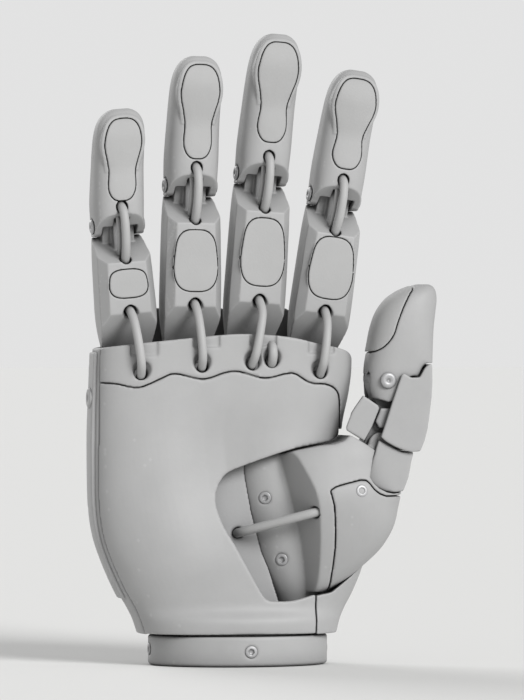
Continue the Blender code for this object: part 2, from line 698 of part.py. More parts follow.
def palm_chassis():
    frame = box("palm_chassis", (-29.0, -3.0, 15.0), (-4.0, 1.6, 76.6))
    add(frame, box("foot", (-18.0, -8.0, CUFF_FLOOR + GAP), (18.0, 8.0, 17.0)))
    add(frame, box("lower_arm", (-20.0, -1.4, 11.0), (28.0, 7.2, 17.0)))
    add(frame, box("upper_arm", (-20.0, -1.4, 73.4), (12.0, 7.2, 77.0)))
    cut(frame, grown_barrel(0.9, 1.0))
    low = AXLE_POINT - AXLE_DIRECTION * 44.0
    high = AXLE_POINT + AXLE_DIRECTION * 36.0
    return cut(frame, rod("axle_hole", low, high, 1.9, 16))


def knuckle_frame():
    """The cross bar under the knuckles, with a fork for every finger."""
    frame = box("knuckle_frame", (-40.0, -7.0, 80.6), (28.0, 8.0, 87.0))
    for finger in FINGERS.values():
        placing = finger_frame(finger)
        length = finger["proximal"]
        for side in (-1, 1):
            ear = hull(circle((KNUCKLE_DEPTH, -length), 2.8)
                       + [(y, -length - drop) for y in (-6.9, -1.0) for drop in (12.0, 18.0)])
            inner, outer = side * (LUG_HALF + 0.4), side * FORK_OUTER
            arm = prism("arm", ear, "x", min(inner, outer), max(inner, outer))
            cut(arm, rod("bore", (-9.0, KNUCKLE_DEPTH, -length), (9.0, KNUCKLE_DEPTH, -length), PIN_HOLE))
            arm.data.transform(placing)
            add(frame, arm)
    return keep(frame, palm_loft("room", -PALM_WALL - GAP))


def thenar_plate():
    outline = [(-14.0, 66.0), (-14.0, 40.0), (-3.0, 19.5), (15.0, 19.5), (22.0, 21.5), (6.0, 66.0)]
    plate = prism("thenar_plate", outline, "y", -6.6, -4.4)
    cut(plate, grown_barrel(GAP, 8.0))
    cut(plate, box("beyond", (20.5, -10.0, 15.0), (40.0, 0.0, 30.0)))
    cut(plate, turned("swing_room", [(-38.0, 13.8), (-12.0, 13.8)], AXLE_POINT, AXLE_DIRECTION))
    return cut(plate, rod("hole", (-3.0, -9.0, 42.2), (1.4, -2.0, 43.6), 2.1))


def finger_motor(name, x):
    motor = rod(name, (x, 7.0, 38.0), (x, 7.0, 62.0), 3.8, 16)
    add(motor, rod("gearbox", (x, 7.0, 61.0), (x, 7.0, 68.0), 3.1, 16))
    return add(motor, rod("spool", (x, 7.0, 67.0), (x, 7.0, 72.0), 3.7, 16))


def thumb_motor():
    motor = rod("thumb_motor", (-25.0, 8.4, 26.0), (-2.0, 8.4, 26.0), 4.8, 16)
    return add(motor, rod("spool", (-3.0, 8.4, 26.0), (2.0, 8.4, 26.0), 3.4, 16))


# ---------------------------------------------------------------- thumb

BASE_STATIONS = [
    # height, inner side x, outer side x, palm side y, back y, squareness
    (23.4, 16.5, 26.5, -13.0, 3.0, 2.2),
    (26.5, 15.0, 31.6, -15.5, 5.0, 2.3),
    (31.0, 13.0, 38.4, -17.8, 6.6, 2.4),
    (37.0, 11.0, 45.2, -20.2, 7.4, 2.5),
    (44.0, 9.0, 50.2, -22.4, 7.8, 2.6),
    (51.0, 7.5, 52.5, -24.0, 7.8, 2.6),
    (57.0, 7.0, 53.6, -24.0, 7.2, 2.6),
    (63.0, 7.0, 53.2, -22.0, 5.8, 2.5),
    (69.0, 9.0, 51.4, -19.6, 4.0, 2.5),
    (75.0, 23.0, 50.4, -17.8, 2.6, 2.6),
    (80.0, 27.0, 50.0, -17.2, 2.0, 2.6),
]
BASE_TOP = [
    (-20.0, 57.0), (7.7, 67.1), (16.7, 69.7), (24.0, 71.1), (28.5, 71.6), (31.5, 72.6), (33.8, 74.6), (38.4, 72.0),
    (42.4, 69.4), (90.0, 69.4),
]
BASE_PANEL = [
    (25.6, 56.8), (27.7, 58.1), (31.3, 59.1), (36.0, 60.2), (38.0, 60.1), (39.3, 58.9),
    (40.7, 57.1), (42.6, 55.7), (45.0, 54.9), (58.0, 54.9), (58.0, 18.0), (27.3, 18.0),
    (27.6, 30.0), (28.0, 38.0), (27.6, 45.0), (27.0, 51.5),
]
LOWER_COVER = [
    (43.6, 73.0), (42.4, 69.4), (41.4, 66.8), (39.8, 61.0), (40.8, 59.2), (42.6, 57.6),
    (45.5, 56.3), (48.2, 55.8), (51.8, 56.3), (53.4, 60.4), (54.1, 63.6), (54.4, 65.6),
    (55.1, 68.2), (54.9, 69.2), (51.4, 69.0), (48.5, 70.4),
]
OUTER_COVER = [
    (50.9, 94.2), (49.5, 90.4), (47.5, 84.6), (45.4, 78.2), (43.9, 73.9), (45.5, 72.5),
    (48.5, 70.8), (51.4, 69.6), (54.0, 69.0), (57.0, 69.2), (58.4, 72.5), (59.5, 76.7),
    (60.3, 82.6), (60.8, 86.8), (61.1, 92.0), (61.0, 97.6), (60.2, 97.6), (58.7, 96.5),
    (56.9, 93.3), (54.0, 93.2), (51.6, 94.6),
]
BLOCK = [
    (38.2, 87.4), (40.6, 85.9), (43.2, 84.2), (43.6, 83.3), (41.2, 77.5), (38.4, 72.6),
    (32.6, 76.1), (32.5, 77.2), (34.3, 81.8), (35.6, 83.8),
]
WAIST = [(44.4, 83.2), (42.6, 79.0), (44.0, 76.8), (55.6, 76.8), (56.6, 80.0), (56.0, 83.2)]
PANEL_BACK = -2.0
PANEL_WALL = 2.0
TONGUE_LOW = 4.6
TONGUE_HIGH = 4.0
FORK_HALF = 6.6
WAIST_HALF = 7.6
BLOCK_DEPTH = (-17.2, -4.0)
BLOCK_SKEW = 2.9  # its inner side leans towards the thumb on its way back
LOWER_HALF = 8.6
LOWER_ROOM = 6.9
OUTER_HALF = 10.4
OUTER_ROOM = 8.95
CHEEK_HALF = 8.5
TIP_STATIONS = [
    # height, inner side x, outer side x, half width, squareness
    (84.0, 41.6, 60.0, 8.0, 3.0),
    (88.5, 41.0, 61.6, 8.4, 3.0),
    (93.0, 40.7, 62.8, 8.5, 3.0),
    (98.0, 41.0, 63.0, 8.6, 2.8),
    (103.5, 42.0, 63.2, 8.8, 2.6),
    (109.5, 43.2, 63.5, 8.9, 2.5),
    (114.5, 45.0, 64.1, 8.6, 2.4),
    (118.5, 47.8, 64.6, 7.8, 2.3),
    (121.2, 51.4, 64.4, 6.6, 2.2),
    (122.9, 55.2, 63.6, 4.8, 2.1),
    (123.7, 58.2, 62.2, 2.6, 2.0),
]
TIP_BOTTOM = [
    (30.0, 87.4), (40.6, 87.4), (41.4, 86.4), (44.0, 86.1), (47.2, 85.2), (50.0, 86.0), (52.6, 88.6),
    (53.7, 91.9), (54.0, 93.6), (56.8, 93.7), (58.5, 96.9), (60.1, 97.95), (72.0, 97.95),
]
TIP_PAD = [
    (57.2, 126.0), (56.5, 123.4), (55.7, 121.8), (54.0, 119.6), (51.7, 115.3), (50.0, 111.0),
    (48.7, 107.1), (46.3, 103.7), (43.5, 101.8), (41.3, 101.3), (30.0, 101.6), (30.0, 126.0),
]


def base_loft(name, grow=0.0):
    rings = []
    for z, left, right, front, back, squareness in refine(BASE_STATIONS):
        ring = oval(left, right, -front, back, squareness, z, grow)
        rings.append(ring)
    return loft(name, rings)


def thumb_base():
    """The ball of the thumb, its flat inner face and the rotor drum behind it."""
    body = base_loft("thumb_base")
    normal = FACE_EDGE.cross(FACE_DIRECTION).normalized()
    corners = [FACE_POINT + FACE_DIRECTION * u + FACE_EDGE * v
               for u, v in ((-40, -60), (60, -60), (60, 60), (-40, 60))]
    away = -normal if normal.x > 0 else normal
    cut(body, loft("flat", [corners, [c + away * 60.0 for c in corners]]))
    cut(body, prism("top", above(BASE_TOP, 120.0), "y", -40.0, 40.0))
    drum = turned("drum", BARREL, AXLE_POINT, AXLE_DIRECTION)
    cut(drum, box("rear", (-30.0, 5.2, 0.0), (60.0, 40.0, 100.0)))
    return add(body, drum)


def thumb_pieces():
    """The pieces that turn with the rotor: the base, its panel and the lower cover."""
    body = thumb_base()
    panel = base_loft("thumb_base_panel")
    keep(panel, prism("limit", inset(BASE_PANEL, GAP), "y", -40.0, PANEL_BACK))
    cut(panel, base_loft("back", -PANEL_WALL))
    # room for the lower cover, then the fork that holds the thumb's lower hinge
    pivot = (MCP_PIVOT.x, MCP_PIVOT.z)
    cut(body, across("room", grown(LOWER_COVER, GAP), 30.0))
    root = [(43.0, 61.0), (49.6, 58.0), (40.0, 52.5), (43.4, 52.5)]
    add(body, across("fork", hull(circle(pivot, 4.7) + root), FORK_HALF))
    pocket = prism("pocket", BASE_PANEL, "y", -40.0, PANEL_BACK + GAP)
    cut(pocket, base_loft("floor", -PANEL_WALL - GAP))
    cut(body, pocket)
    cut(body, across("slot", circle(pivot, 7.2, sides=24), TONGUE_LOW + GAP))
    cut(body, across("bore", circle(pivot, 1.8, sides=16), 30.0))
    low, high = AXLE_POINT - AXLE_DIRECTION * 60, AXLE_POINT + AXLE_DIRECTION * 50
    cut(body, rod("axle_bore", low, high, 1.9, 16))
    cut(body, rod("cord_hole", (16.0, -20.2, 48.4), (29.0, -21.3, 51.4), CORD_HOLE))
    cover = across("thumb_lower_cover", LOWER_COVER, LOWER_HALF)
    inside = [(30.0, 50.0), (50.6, 50.0), (52.6, 64.0), (53.4, 80.0), (30.0, 80.0)]
    cut(cover, across("inside", inside, LOWER_ROOM))
    return body, panel, cover


def across(name, outline, half):
    """A prism across the thumb, centred on its mid plane."""
    return prism(name, outline, "y", THUMB_PLANE - half, THUMB_PLANE + half)


def thumb_frame():
    """The bar between the thumb's two hinges."""
    low, high = (MCP_PIVOT.x, MCP_PIVOT.z), (IP_PIVOT.x, IP_PIVOT.z)
    frame = across("thumb_frame", WAIST, WAIST_HALF)
    add(frame, across("low", hull(circle(low, 5.6, sides=20) + [(42.6, 79.0), (52.0, 79.0)]), TONGUE_LOW))
    add(frame, across("high", hull(circle(high, 5.4, sides=20) + [(45.0, 80.0), (53.0, 80.0)]), TONGUE_HIGH))
    cut(frame, across("bore", circle(low, 1.8, sides=16), 30.0))
    return cut(frame, across("bore", circle(high, 1.8, sides=16), 30.0))


def thumb_block():
    """The small cuff over the inner side of the bar, cut back where it passes the palm's edge."""
    front, rear = BLOCK_DEPTH
    right = max(x for x, _ in BLOCK)
    far = [(x + BLOCK_SKEW * min(1.0, (right - x) / 5.0), rear, z) for x, z in BLOCK]
    block = loft("thumb_block", [[(x, front, z) for x, z in BLOCK], far])
    room = across("room", grown(WAIST, GAP), WAIST_HALF + GAP)
    hinge_room = hull(circle((MCP_PIVOT.x, MCP_PIVOT.z), 6.1, sides=24) + [(41.8, 80.7), (52.0, 80.7)])
    cut(block, add(room, across("hinge_room", hinge_room, TONGUE_LOW + 2 * GAP)))
    return cut(block, box("palm_room", (20.0, -10.0, 60.0), (36.8, 10.0, 100.0)))


def thumb_outer_cover():
    cover = across("thumb_outer_cover", OUTER_COVER, OUTER_HALF)
    inside = [(30.0, 60.0), (55.0, 60.0), (55.7, 69.4), (57.0, 72.8), (58.1, 77.0), (58.9, 82.8),
              (59.4, 87.0), (59.6, 92.0), (59.6, 104.0), (30.0, 104.0)]
    return cut(cover, across("inside", inside, OUTER_ROOM))


def tip_loft(name, grow=0.0):
    rings = [
        oval(left, right, half, half, squareness, z, grow, THUMB_PLANE)
        for z, left, right, half, squareness in refine(TIP_STATIONS)
    ]
    return loft(name, rings)


def thumb_tip():
    high = (IP_PIVOT.x, IP_PIVOT.z)
    tip = tip_loft("thumb_tip")
    cut(tip, across("under", below(TIP_BOTTOM, 60.0), 30.0))
    pocket = across("pocket", TIP_PAD, 20.0)
    cut(pocket, tip_loft("floor", -PAD_SINK - GAP))
    cut(tip, pocket)
    slot = hull(circle(high, 5.9, sides=24) + [(30.0, 80.0), (54.5, 80.0)])
    cut(tip, across("slot", slot, TONGUE_HIGH + GAP))
    cut(tip, across("bore", circle(high, 1.8, sides=16), 30.0))
    pad = tip_loft("thumb_tip_pad", PAD_STEP)
    keep(pad, across("limit", inset(TIP_PAD, GAP), 20.0))
    return tip, cut(pad, tip_loft("back", -PAD_SINK))


def thumb_pin(name, pivot, half, cap_radius=0.0):
    """A pin across the thumb, with a head outside each cheek where a radius is given."""
    cap = 0.8 if cap_radius else 0.0
    across_thumb = Vector((0.0, 1.0, 0.0))
    pin = rod(name, pivot - across_thumb * (half + cap), pivot + across_thumb * (half + cap), 1.4, 16)
    if cap_radius:
        for side in (-1, 1):
            add(pin, rod("head", pivot + across_thumb * side * half,
                         pivot + across_thumb * side * (half + cap + 0.2), cap_radius, 16))
    return pin


def thumb_cord():
    route = [(-1.5, -5.2, 42.5), (-0.3, -9.6, 43.2), (5.0, -13.8, 44.9), (12.0, -17.6, 47.0),
             (18.6, -20.2, 48.9), (21.8, -20.7, 49.7), (25.4, -21.0, 50.5)]
    return cord("thumb_cord", route, 1.5, AXLE_POINT)


def shift_outline(outline, distance):
    """An outline with every side moved sideways by the same distance."""
    area = sum(a[0] * b[1] - b[0] * a[1] for a, b in zip(outline, outline[1:] + outline[:1]))
    sign = math.copysign(1.0, area)
    result = []
    for k, here in enumerate(outline):
        before, after = outline[k - 1], outline[(k + 1) % len(outline)]
        first = Vector((here[0] - before[0], here[1] - before[1])).normalized()
        second = Vector((after[0] - here[0], after[1] - here[1])).normalized()
        normal = Vector((first.y + second.y, -first.x - second.x)).normalized()
        stretch = max(normal.dot(Vector((first.y, -first.x))), 0.5)
        result.append((here[0] + sign * normal.x * distance / stretch,
                       here[1] + sign * normal.y * distance / stretch))
    return result


def inset(outline, distance):
    return shift_outline(outline, -distance)


def grown(outline, distance):
    return shift_outline(outline, distance)


def main():
    clear_scene()
    for name, finger in FINGERS.items():
        build_finger(name, finger)
    for make in (wrist_cuff, palm_cover, knuckle_band, back_shell, radial_wrist_cover, ulnar_rail):
        place(make(), "shell")
    for make in (palm_chassis, knuckle_frame, thenar_plate):
        place(make(), "frame")
    tendon_peg()
    for name, x in zip(FINGERS, (-32.0, -24.0, -16.0, -8.0)):
        place(finger_motor(f"{name}_motor", x), "motor")
    place(thumb_motor(), "motor")
    body, panel, cover = thumb_pieces()
    place(body, "shell", AXLE_POINT)
    place(panel, "shell", AXLE_POINT)
    place(cover, "shell", AXLE_POINT)
    low, high = AXLE_POINT - AXLE_DIRECTION * 39.5, AXLE_POINT + AXLE_DIRECTION * 29.5
    place(rod("thumb_axle", low, high, 1.5, 16), "steel", AXLE_POINT)
    thumb_cord()
    place(thumb_pin("thumb_lower_pin", MCP_PIVOT, FORK_HALF - GAP), "steel", MCP_PIVOT)
    place(thumb_frame(), "frame", MCP_PIVOT)
    place(thumb_block(), "shell", MCP_PIVOT)
    place(thumb_outer_cover(), "shell", MCP_PIVOT)
    place(thumb_pin("thumb_upper_pin", IP_PIVOT, CHEEK_HALF, 2.6), "steel", MCP_PIVOT)
    tip, pad = thumb_tip()
    place(tip, "shell", IP_PIVOT)
    place(pad, "pad", IP_PIVOT)


main()
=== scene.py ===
"""Looks for the right-hand prosthesis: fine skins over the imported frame, cords, screws, finishes, studio.

Skins are worked out in millimetres from the same driving dimensions as the solids and placed in
metres. +Z points to the fingertips, the palm faces -Y and the thumb is on the +X side. Fingers are
built in a frame of their own: x along the hinge, -y out of the palm side, z to the tip.
"""

import json
import math

import bmesh
import bpy
from mathutils import Matrix, Vector


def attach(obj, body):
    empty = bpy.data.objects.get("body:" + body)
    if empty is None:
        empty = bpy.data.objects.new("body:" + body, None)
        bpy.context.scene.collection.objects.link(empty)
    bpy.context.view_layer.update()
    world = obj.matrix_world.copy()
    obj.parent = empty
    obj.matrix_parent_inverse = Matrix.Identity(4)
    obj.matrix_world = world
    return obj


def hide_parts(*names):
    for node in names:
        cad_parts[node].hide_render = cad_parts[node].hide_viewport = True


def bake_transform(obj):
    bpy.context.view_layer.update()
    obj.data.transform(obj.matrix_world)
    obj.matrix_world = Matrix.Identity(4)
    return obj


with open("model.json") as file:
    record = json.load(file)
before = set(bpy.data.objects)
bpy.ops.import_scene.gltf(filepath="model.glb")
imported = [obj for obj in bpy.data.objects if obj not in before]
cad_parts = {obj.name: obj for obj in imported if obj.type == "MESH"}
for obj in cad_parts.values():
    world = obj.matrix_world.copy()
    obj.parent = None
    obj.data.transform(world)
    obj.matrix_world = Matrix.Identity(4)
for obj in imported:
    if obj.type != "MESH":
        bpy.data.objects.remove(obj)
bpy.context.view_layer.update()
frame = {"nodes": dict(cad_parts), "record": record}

MM = 0.001
GAP = 0.35  # clearance between neighbouring pieces
ROWS_PER_GAP = 5  # lofted rows between two stations
BACK_POINTS = 28  # facets across the rounded back of a finger
SECTION_POINTS = 96  # facets around a section of the palm or the thumb
ROUND = 32  # sides of a small round piece
FINE = 72  # sides of a larger one
PAD_POINTS = 64  # points around the outline of a finger pad
CORD_POINTS = 10  # points between two stations of a cord's route
CORD_SIDES = 28

# Wrist cuff
CUFF_HALF_WIDTH = 29.5
CUFF_HALF_DEPTH = 22.0
CUFF_HEIGHT = 9.5
CUFF_WALL = 3.0
CUFF_FLOOR = 2.5
CUFF_SIDES = 120

# Palm: height, ulnar side x, radial side x, palm side depth, back depth, squareness
PALM_STATIONS = [
    (10.0, -33.1, 32.5, 20.6, 20.6, 2.3),
    (14.5, -34.6, 33.6, 21.0, 20.2, 2.3),
    (18.5, -36.6, 35.4, 18.8, 19.2, 2.35),
    (24.0, -39.8, 38.3, 18.8, 18.4, 2.4),
    (33.0, -43.8, 41.6, 19.4, 18.0, 2.55),
    (42.0, -46.8, 42.0, 19.0, 17.6, 2.7),
    (52.0, -48.2, 40.0, 18.0, 17.0, 2.8),
    (64.0, -48.5, 35.6, 16.4, 16.4, 2.9),
    (76.0, -48.5, 34.2, 15.0, 15.6, 3.0),
    (88.0, -48.0, 36.3, 14.2, 15.0, 3.5),
    (97.0, -47.6, 37.2, 13.7, 14.6, 4.0),
    (109.0, -47.2, 36.9, 13.2, 14.2, 4.0),
]
PALM_WALL = 2.2
CUP_DEPTH = 3.4
CUP_AT = (-8.0, 60.0)
CUP_SPREAD = (15.0, 24.0)
SPLIT_ULNAR = -6.5
SPLIT_RADIAL = 4.0
KNUCKLE_LINE = [
    (-52.0, 97.0), (-47.8, 101.6), (-45.6, 103.0), (-23.7, 105.5), (-2.0, 107.4),
    (13.3, 106.6), (23.3, 104.6), (32.6, 102.6), (36.4, 100.4), (40.0, 94.0),
]
SEAM_LINE = [
    (-52.0, 91.6), (-43.2, 91.4), (-35.2, 90.1), (-27.5, 93.2), (-23.2, 94.5), (-14.1, 92.8),
    (-6.8, 94.9), (-2.1, 95.2), (6.0, 93.1), (13.2, 94.5), (16.5, 94.4), (21.5, 91.6),
    (27.2, 91.0), (30.6, 89.1), (31.9, 85.5), (32.4, 76.0),
]
THENAR_EDGE = [
    (60.0, 78.0), (33.6, 77.4), (32.6, 75.4), (30.6, 73.4), (27.4, 72.2), (16.7, 70.3),
    (7.7, 67.7), (-3.5, 63.6), (-6.9, 61.6), (-9.2, 58.4), (-10.2, 54.6), (-9.8, 50.6),
    (-7.7, 44.7), (-4.5, 39.2), (-0.3, 31.3), (3.4, 24.6), (5.4, 21.9), (7.8, 20.9),
    (14.7, 20.9), (22.6, 22.9), (22.6, 23.0), (60.0, 23.0),
]
WRIST_COVER_TOP = [(22.9, 22.4), (28.4, 23.4), (34.8, 28.0), (41.0, 33.1), (52.0, 42.1)]
WRIST_COVER_LEFT = 22.9
RAIL_STEP = 1.1
RAIL_BOTTOM = 21.5
RAIL_DEPTH = (-4.6, 4.2)
BOSS_HEIGHT = 86.5

# Fingers: hinge spots in mm, lean in degrees
KNUCKLE_DEPTH = -6.0  # the knuckle hinge is this far to the palm side
FINGER_TURN = 4.0  # every finger is turned this much towards the thumb
FINGERS = {
    "little": {
        "pip": (-40.0, 0.0, 142.8), "proximal": 42.4, "distal": 37.5, "tilt": -4.8, "lean": 5.5,
        "pad": (-24.0, -14.4, 6.6, 6.4), "tip_pad": (7.5, 34.4, 5.4, 4.6, 6.5), "hole": (-34.4, 95.0),
    },
    "ring": {
        "pip": (-15.9, 0.0, 155.7), "proximal": 52.9, "distal": 42.1, "tilt": 0.6, "lean": 2.2,
        "pad": (-34.7, -14.3, 7.6, 7.1), "tip_pad": (8.4, 39.4, 5.5, 4.6, 6.8), "hole": (-14.4, 97.4),
    },
    "middle": {
        "pip": (7.8, 0.0, 159.5), "proximal": 55.5, "distal": 46.0, "tilt": 3.8, "lean": 2.4,
        "pad": (-36.7, -14.2, 7.6, 7.1), "tip_pad": (10.2, 43.4, 5.8, 4.5, 7.1), "hole": (2.3, 98.1),
    },
    "index": {
        "pip": (32.2, 0.0, 152.1), "proximal": 51.8, "distal": 42.1, "tilt": 8.0, "lean": 1.4,
        "pad": (-33.6, -13.0, 7.7, 7.2), "tip_pad": (9.2, 39.4, 5.9, 4.5, 7.2), "hole": (25.0, 95.3),
    },
}
FINGER_DEPTH = 8.5  # half thickness
FINGER_BEVEL = 2.7
DRUM_RADIUS = FINGER_DEPTH - KNUCKLE_DEPTH  # rounded heel of the first phalanx
HEEL = 5.5
HEEL_HALF = 8.0
CREASE = 13.5  # height of the palm-side crease above the knuckle hinge
CHAMFER = math.tan(math.radians(39.0))
LUG_RADIUS = 3.0
LUG_HALF = 3.0
PIN_RADIUS = 1.0
SHOULDER = -3.4
BROW = (-8.0, -11.9)  # lower edge of the sloping brow below the middle hinge
EAR_HALF = 8.4
ARCH = (-8.5, 3.5)  # lower edge of the fingertip's palm-side wall
TONGUE_HALF = 2.2
DOME_RADIUS = 7.0
DOME_HALF = 5.4
HOLLOW_RADIUS = 7.4
HOLLOW_HALF = 5.8
HOLLOW_END = 113.0  # the dome's room ends here, in degrees from the back
HOLLOW_FRONT = [(-1.9, 0.75), (-7.4, -1.5), (-12.0, -3.4)]  # depth, height of the wall before the dome
PAD_STEP = 0.45
PAD_SINK = 1.2
PAD_BACK = -3.0
PAD_WAIST = -0.3  # height of the waist, from -1 at the bottom of the pad to 1 at its top
PEG_X = 8.7  # the short tendon end beside the middle finger's cord
CORD_RADIUS = 1.4
CORD_HOLE = 2.0
THUMB_CORD_RADIUS = 1.5  # the peg's too

# Thumb: the rotor turns about a leaning axle
AXLE_POINT = Vector((13.8, 2.9, 50.0))
AXLE_DIRECTION = Vector((-0.3, 0.0, 0.954)).normalized()
BARREL = [(-31.0, 10.8), (-24.3, 12.4), (-17.5, 13.4), (-11.0, 13.9), (-4.2, 13.7), (2.7, 13.4),
          (14.4, 12.4), (19.6, 11.4), (24.0, 10.2)]
DRUM_REACH = 8.0  # the drum's room runs this far past its ends
FACE_POINT = Vector((17.5, -10.6, 44.3))  # on the line where the flat inner face meets the drum
FACE_EDGE = Vector((-0.194, 0.0, 0.981))
FACE_DIRECTION = Vector((0.43, -0.9, 0.0))
THUMB_PLANE = -8.0
MCP_PIVOT = Vector((45.0, THUMB_PLANE, 70.9))
IP_PIVOT = Vector((46.7, THUMB_PLANE, 92.3))

BASE_STATIONS = [
    # height, inner side x, outer side x, palm side y, back y, squareness
    (23.4, 16.5, 29.0, -13.0, 3.0, 2.2),
    (26.5, 15.0, 34.4, -15.5, 5.0, 2.3),
    (31.0, 13.0, 40.8, -17.8, 6.6, 2.4),
    (37.0, 11.0, 46.6, -20.2, 7.4, 2.5),
    (44.0, 9.0, 50.8, -22.4, 7.8, 2.6),
    (51.0, 7.5, 52.5, -24.0, 7.8, 2.6),
    (57.0, 7.0, 53.6, -24.0, 7.2, 2.6),
    (63.0, 7.0, 53.2, -22.0, 5.8, 2.5),
    (69.0, 9.0, 51.4, -19.6, 4.0, 2.5),
    (75.0, 23.0, 50.4, -17.8, 2.6, 2.6),
    (80.0, 27.0, 50.0, -17.2, 2.0, 2.6),
]
BASE_TOP = [
    (-20.0, 57.0), (7.7, 67.1), (16.7, 69.7), (24.0, 71.1), (28.5, 71.6), (31.5, 72.6),
    (33.8, 74.6), (38.4, 72.0), (42.4, 69.4), (90.0, 69.4),
]
BASE_PANEL = [
    (25.6, 56.8), (27.7, 58.1), (31.3, 59.1), (36.0, 60.2), (38.0, 60.1), (39.3, 58.9),
    (40.7, 57.1), (42.6, 55.7), (45.0, 54.9), (58.0, 54.9), (58.0, 18.0), (27.3, 18.0),
    (27.6, 30.0), (28.0, 38.0), (27.6, 45.0), (27.0, 51.5),
]
LOWER_COVER = [
    (43.6, 73.0), (42.4, 69.4), (41.4, 66.8), (39.8, 61.0), (40.8, 59.2), (42.6, 57.6),
    (45.5, 56.3), (48.2, 55.8), (51.8, 56.3), (53.4, 60.4), (54.1, 63.6), (54.4, 65.6),
    (55.1, 68.2), (54.9, 69.2), (51.4, 69.0), (48.5, 70.4),
]
OUTER_COVER = [
    (50.9, 94.2), (49.5, 90.4), (47.5, 84.6), (45.4, 78.2), (43.9, 73.9), (45.5, 72.5),
    (48.5, 70.8), (51.4, 69.6), (54.0, 69.0), (57.0, 69.2), (58.4, 72.5), (59.5, 76.7),
    (60.3, 82.6), (60.8, 86.8), (61.1, 92.0), (61.0, 97.6), (60.2, 97.6), (58.7, 96.5),
    (56.9, 93.3), (54.0, 93.2), (51.6, 94.6),
]
BLOCK = [
    (38.2, 87.4), (40.6, 85.9), (43.2, 84.2), (43.6, 83.3), (41.2, 77.5), (38.4, 72.6),
    (32.6, 76.1), (32.5, 77.2), (34.3, 81.8), (35.6, 83.8),
]
WAIST = [(44.4, 83.2), (42.6, 79.0), (44.0, 76.8), (55.6, 76.8), (56.6, 80.0), (56.0, 83.2)]
PANEL_BACK = -2.0
PANEL_WALL = 2.0
TONGUE_LOW = 4.6
TONGUE_HIGH = 4.0
FORK_HALF = 6.6
WAIST_HALF = 7.6
BLOCK_DEPTH = (-17.2, -4.0)
BLOCK_SKEW = 2.9  # its inner side leans towards the thumb on its way back
LOWER_HALF = 8.6
LOWER_ROOM = 6.9
OUTER_HALF = 10.4
OUTER_ROOM = 8.95
CHEEK_HALF = 8.5
TIP_STATIONS = [
    # height, inner side x, outer side x, half width, squareness
    (84.0, 41.6, 60.0, 8.0, 3.0),
    (88.5, 41.0, 61.6, 8.4, 3.0),
    (93.0, 40.7, 62.8, 8.5, 3.0),
    (98.0, 41.0, 63.0, 8.6, 2.8),
    (103.5, 42.0, 63.2, 8.8, 2.6),
    (109.5, 43.2, 63.5, 8.9, 2.5),
    (114.5, 45.0, 64.1, 8.6, 2.4),
    (118.5, 47.8, 64.6, 7.8, 2.3),
    (121.2, 51.4, 64.4, 6.6, 2.2),
    (122.9, 55.2, 63.6, 4.8, 2.1),
    (123.7, 58.2, 62.2, 2.6, 2.0),
]
TIP_BOTTOM = [
    (30.0, 87.4), (40.6, 87.4), (41.4, 86.4), (44.0, 86.1), (47.2, 85.2), (50.0, 86.0), (52.6, 88.6),
    (53.7, 91.9), (54.0, 93.6), (56.8, 93.7), (58.5, 96.9), (60.1, 97.95), (72.0, 97.95),
]
TIP_PAD = [
    (57.2, 126.0), (56.5, 123.4), (55.7, 121.8), (54.0, 119.6), (51.7, 115.3), (50.0, 111.0),
    (48.7, 107.1), (46.3, 103.7), (43.5, 101.8), (41.3, 101.3), (30.0, 101.6), (30.0, 126.0),
]

# Details that only the skins have
BROW_CHANNEL = [(-2.9, 0.0), (-2.7, -3.6), (-2.0, -8.6), (-1.2, -11.2), (0.0, -12.0), (1.2, -11.2),
                (2.0, -8.6), (2.7, -3.6), (2.9, 0.0)]
CHANNEL_FLOOR = -4.6
MIDDLE_ROUTE = [(-3.6, -13.7), (-7.0, -11.2), (-9.4, -7.6), (-10.6, -2.8), (-10.7, 1.2), (-9.4, 4.6),
                (-5.4, 6.8)]  # depth, height of the pull cord at the middle hinge
RETURN_ROUTE = [(-3.2, -11.5), (-5.6, -8.6), (-7.2, -4.6), (-7.6, -0.4), (-6.6, 3.4), (-4.0, 5.6)]
RETURN_X = -1.4
RETURN_RADIUS = 0.7
HOLE_DISH = [(-1.2, 3.3), (0.0, 2.9), (0.55, 2.45), (1.1, 2.2)]  # distance inwards, radius
BAND_DISH = [(-1.4, 3.9), (0.0, 3.1), (0.7, 2.45), (1.4, 2.1), (6.0, 2.0)]
CAP_SEAT = [(-0.5, 2.85), (0.6, 2.85)]
PHALANX_GRID = (0.26, 4)  # voxel size and smoothing passes
PAD_GRID = (0.22, 5)
EAR_SKIN = 3.3  # the fingertips' ears all but touch the shoulders below them
BED_BEVEL = 1.0
BED_EDGE = 0.25  # the flat bed reaches this far past a pad
BED_RISE = 0.05
TIP_SQUARENESS = 3.0
BED_SQUARENESS = 7.0
RIM_WIDTH = 1.15
RIM_RISE = 0.25
PAD_SEAM = 0.28
SKIN_STEP = 0.15
PAD_CROWN = 0.3
TIP_CROWN = 0.55
PEG_HEIGHT = 99.0
NOTCH_HALF = 4.6
NOTCH_DEPTH = 0.6
BAND_NOTCHES = [(-33.4, 100.2), (-13.0, 102.9), (5.8, 103.4), (25.4, 100.9)]  # centre x, lower edge
BACK_PANEL = [(-39.0, 34.0), (-32.0, 22.0), (-23.0, 17.5), (12.0, 17.5), (20.0, 21.0), (25.0, 32.0),
              (26.5, 84.0), (18.0, 92.5), (-4.0, 95.0), (-29.0, 93.0), (-39.0, 86.0)]
GUARD_DEPTH = (9.6, 12.6)
GUARD_CENTRES = (-25.0, -4.0, 17.5)  # between neighbouring fingers
GUARD_HALF = [(100.0, 5.0), (109.0, 4.4), (113.0, 3.4), (115.2, 2.0), (116.0, 0.8)]  # height, half width
RAIL_SEAM = 50.6
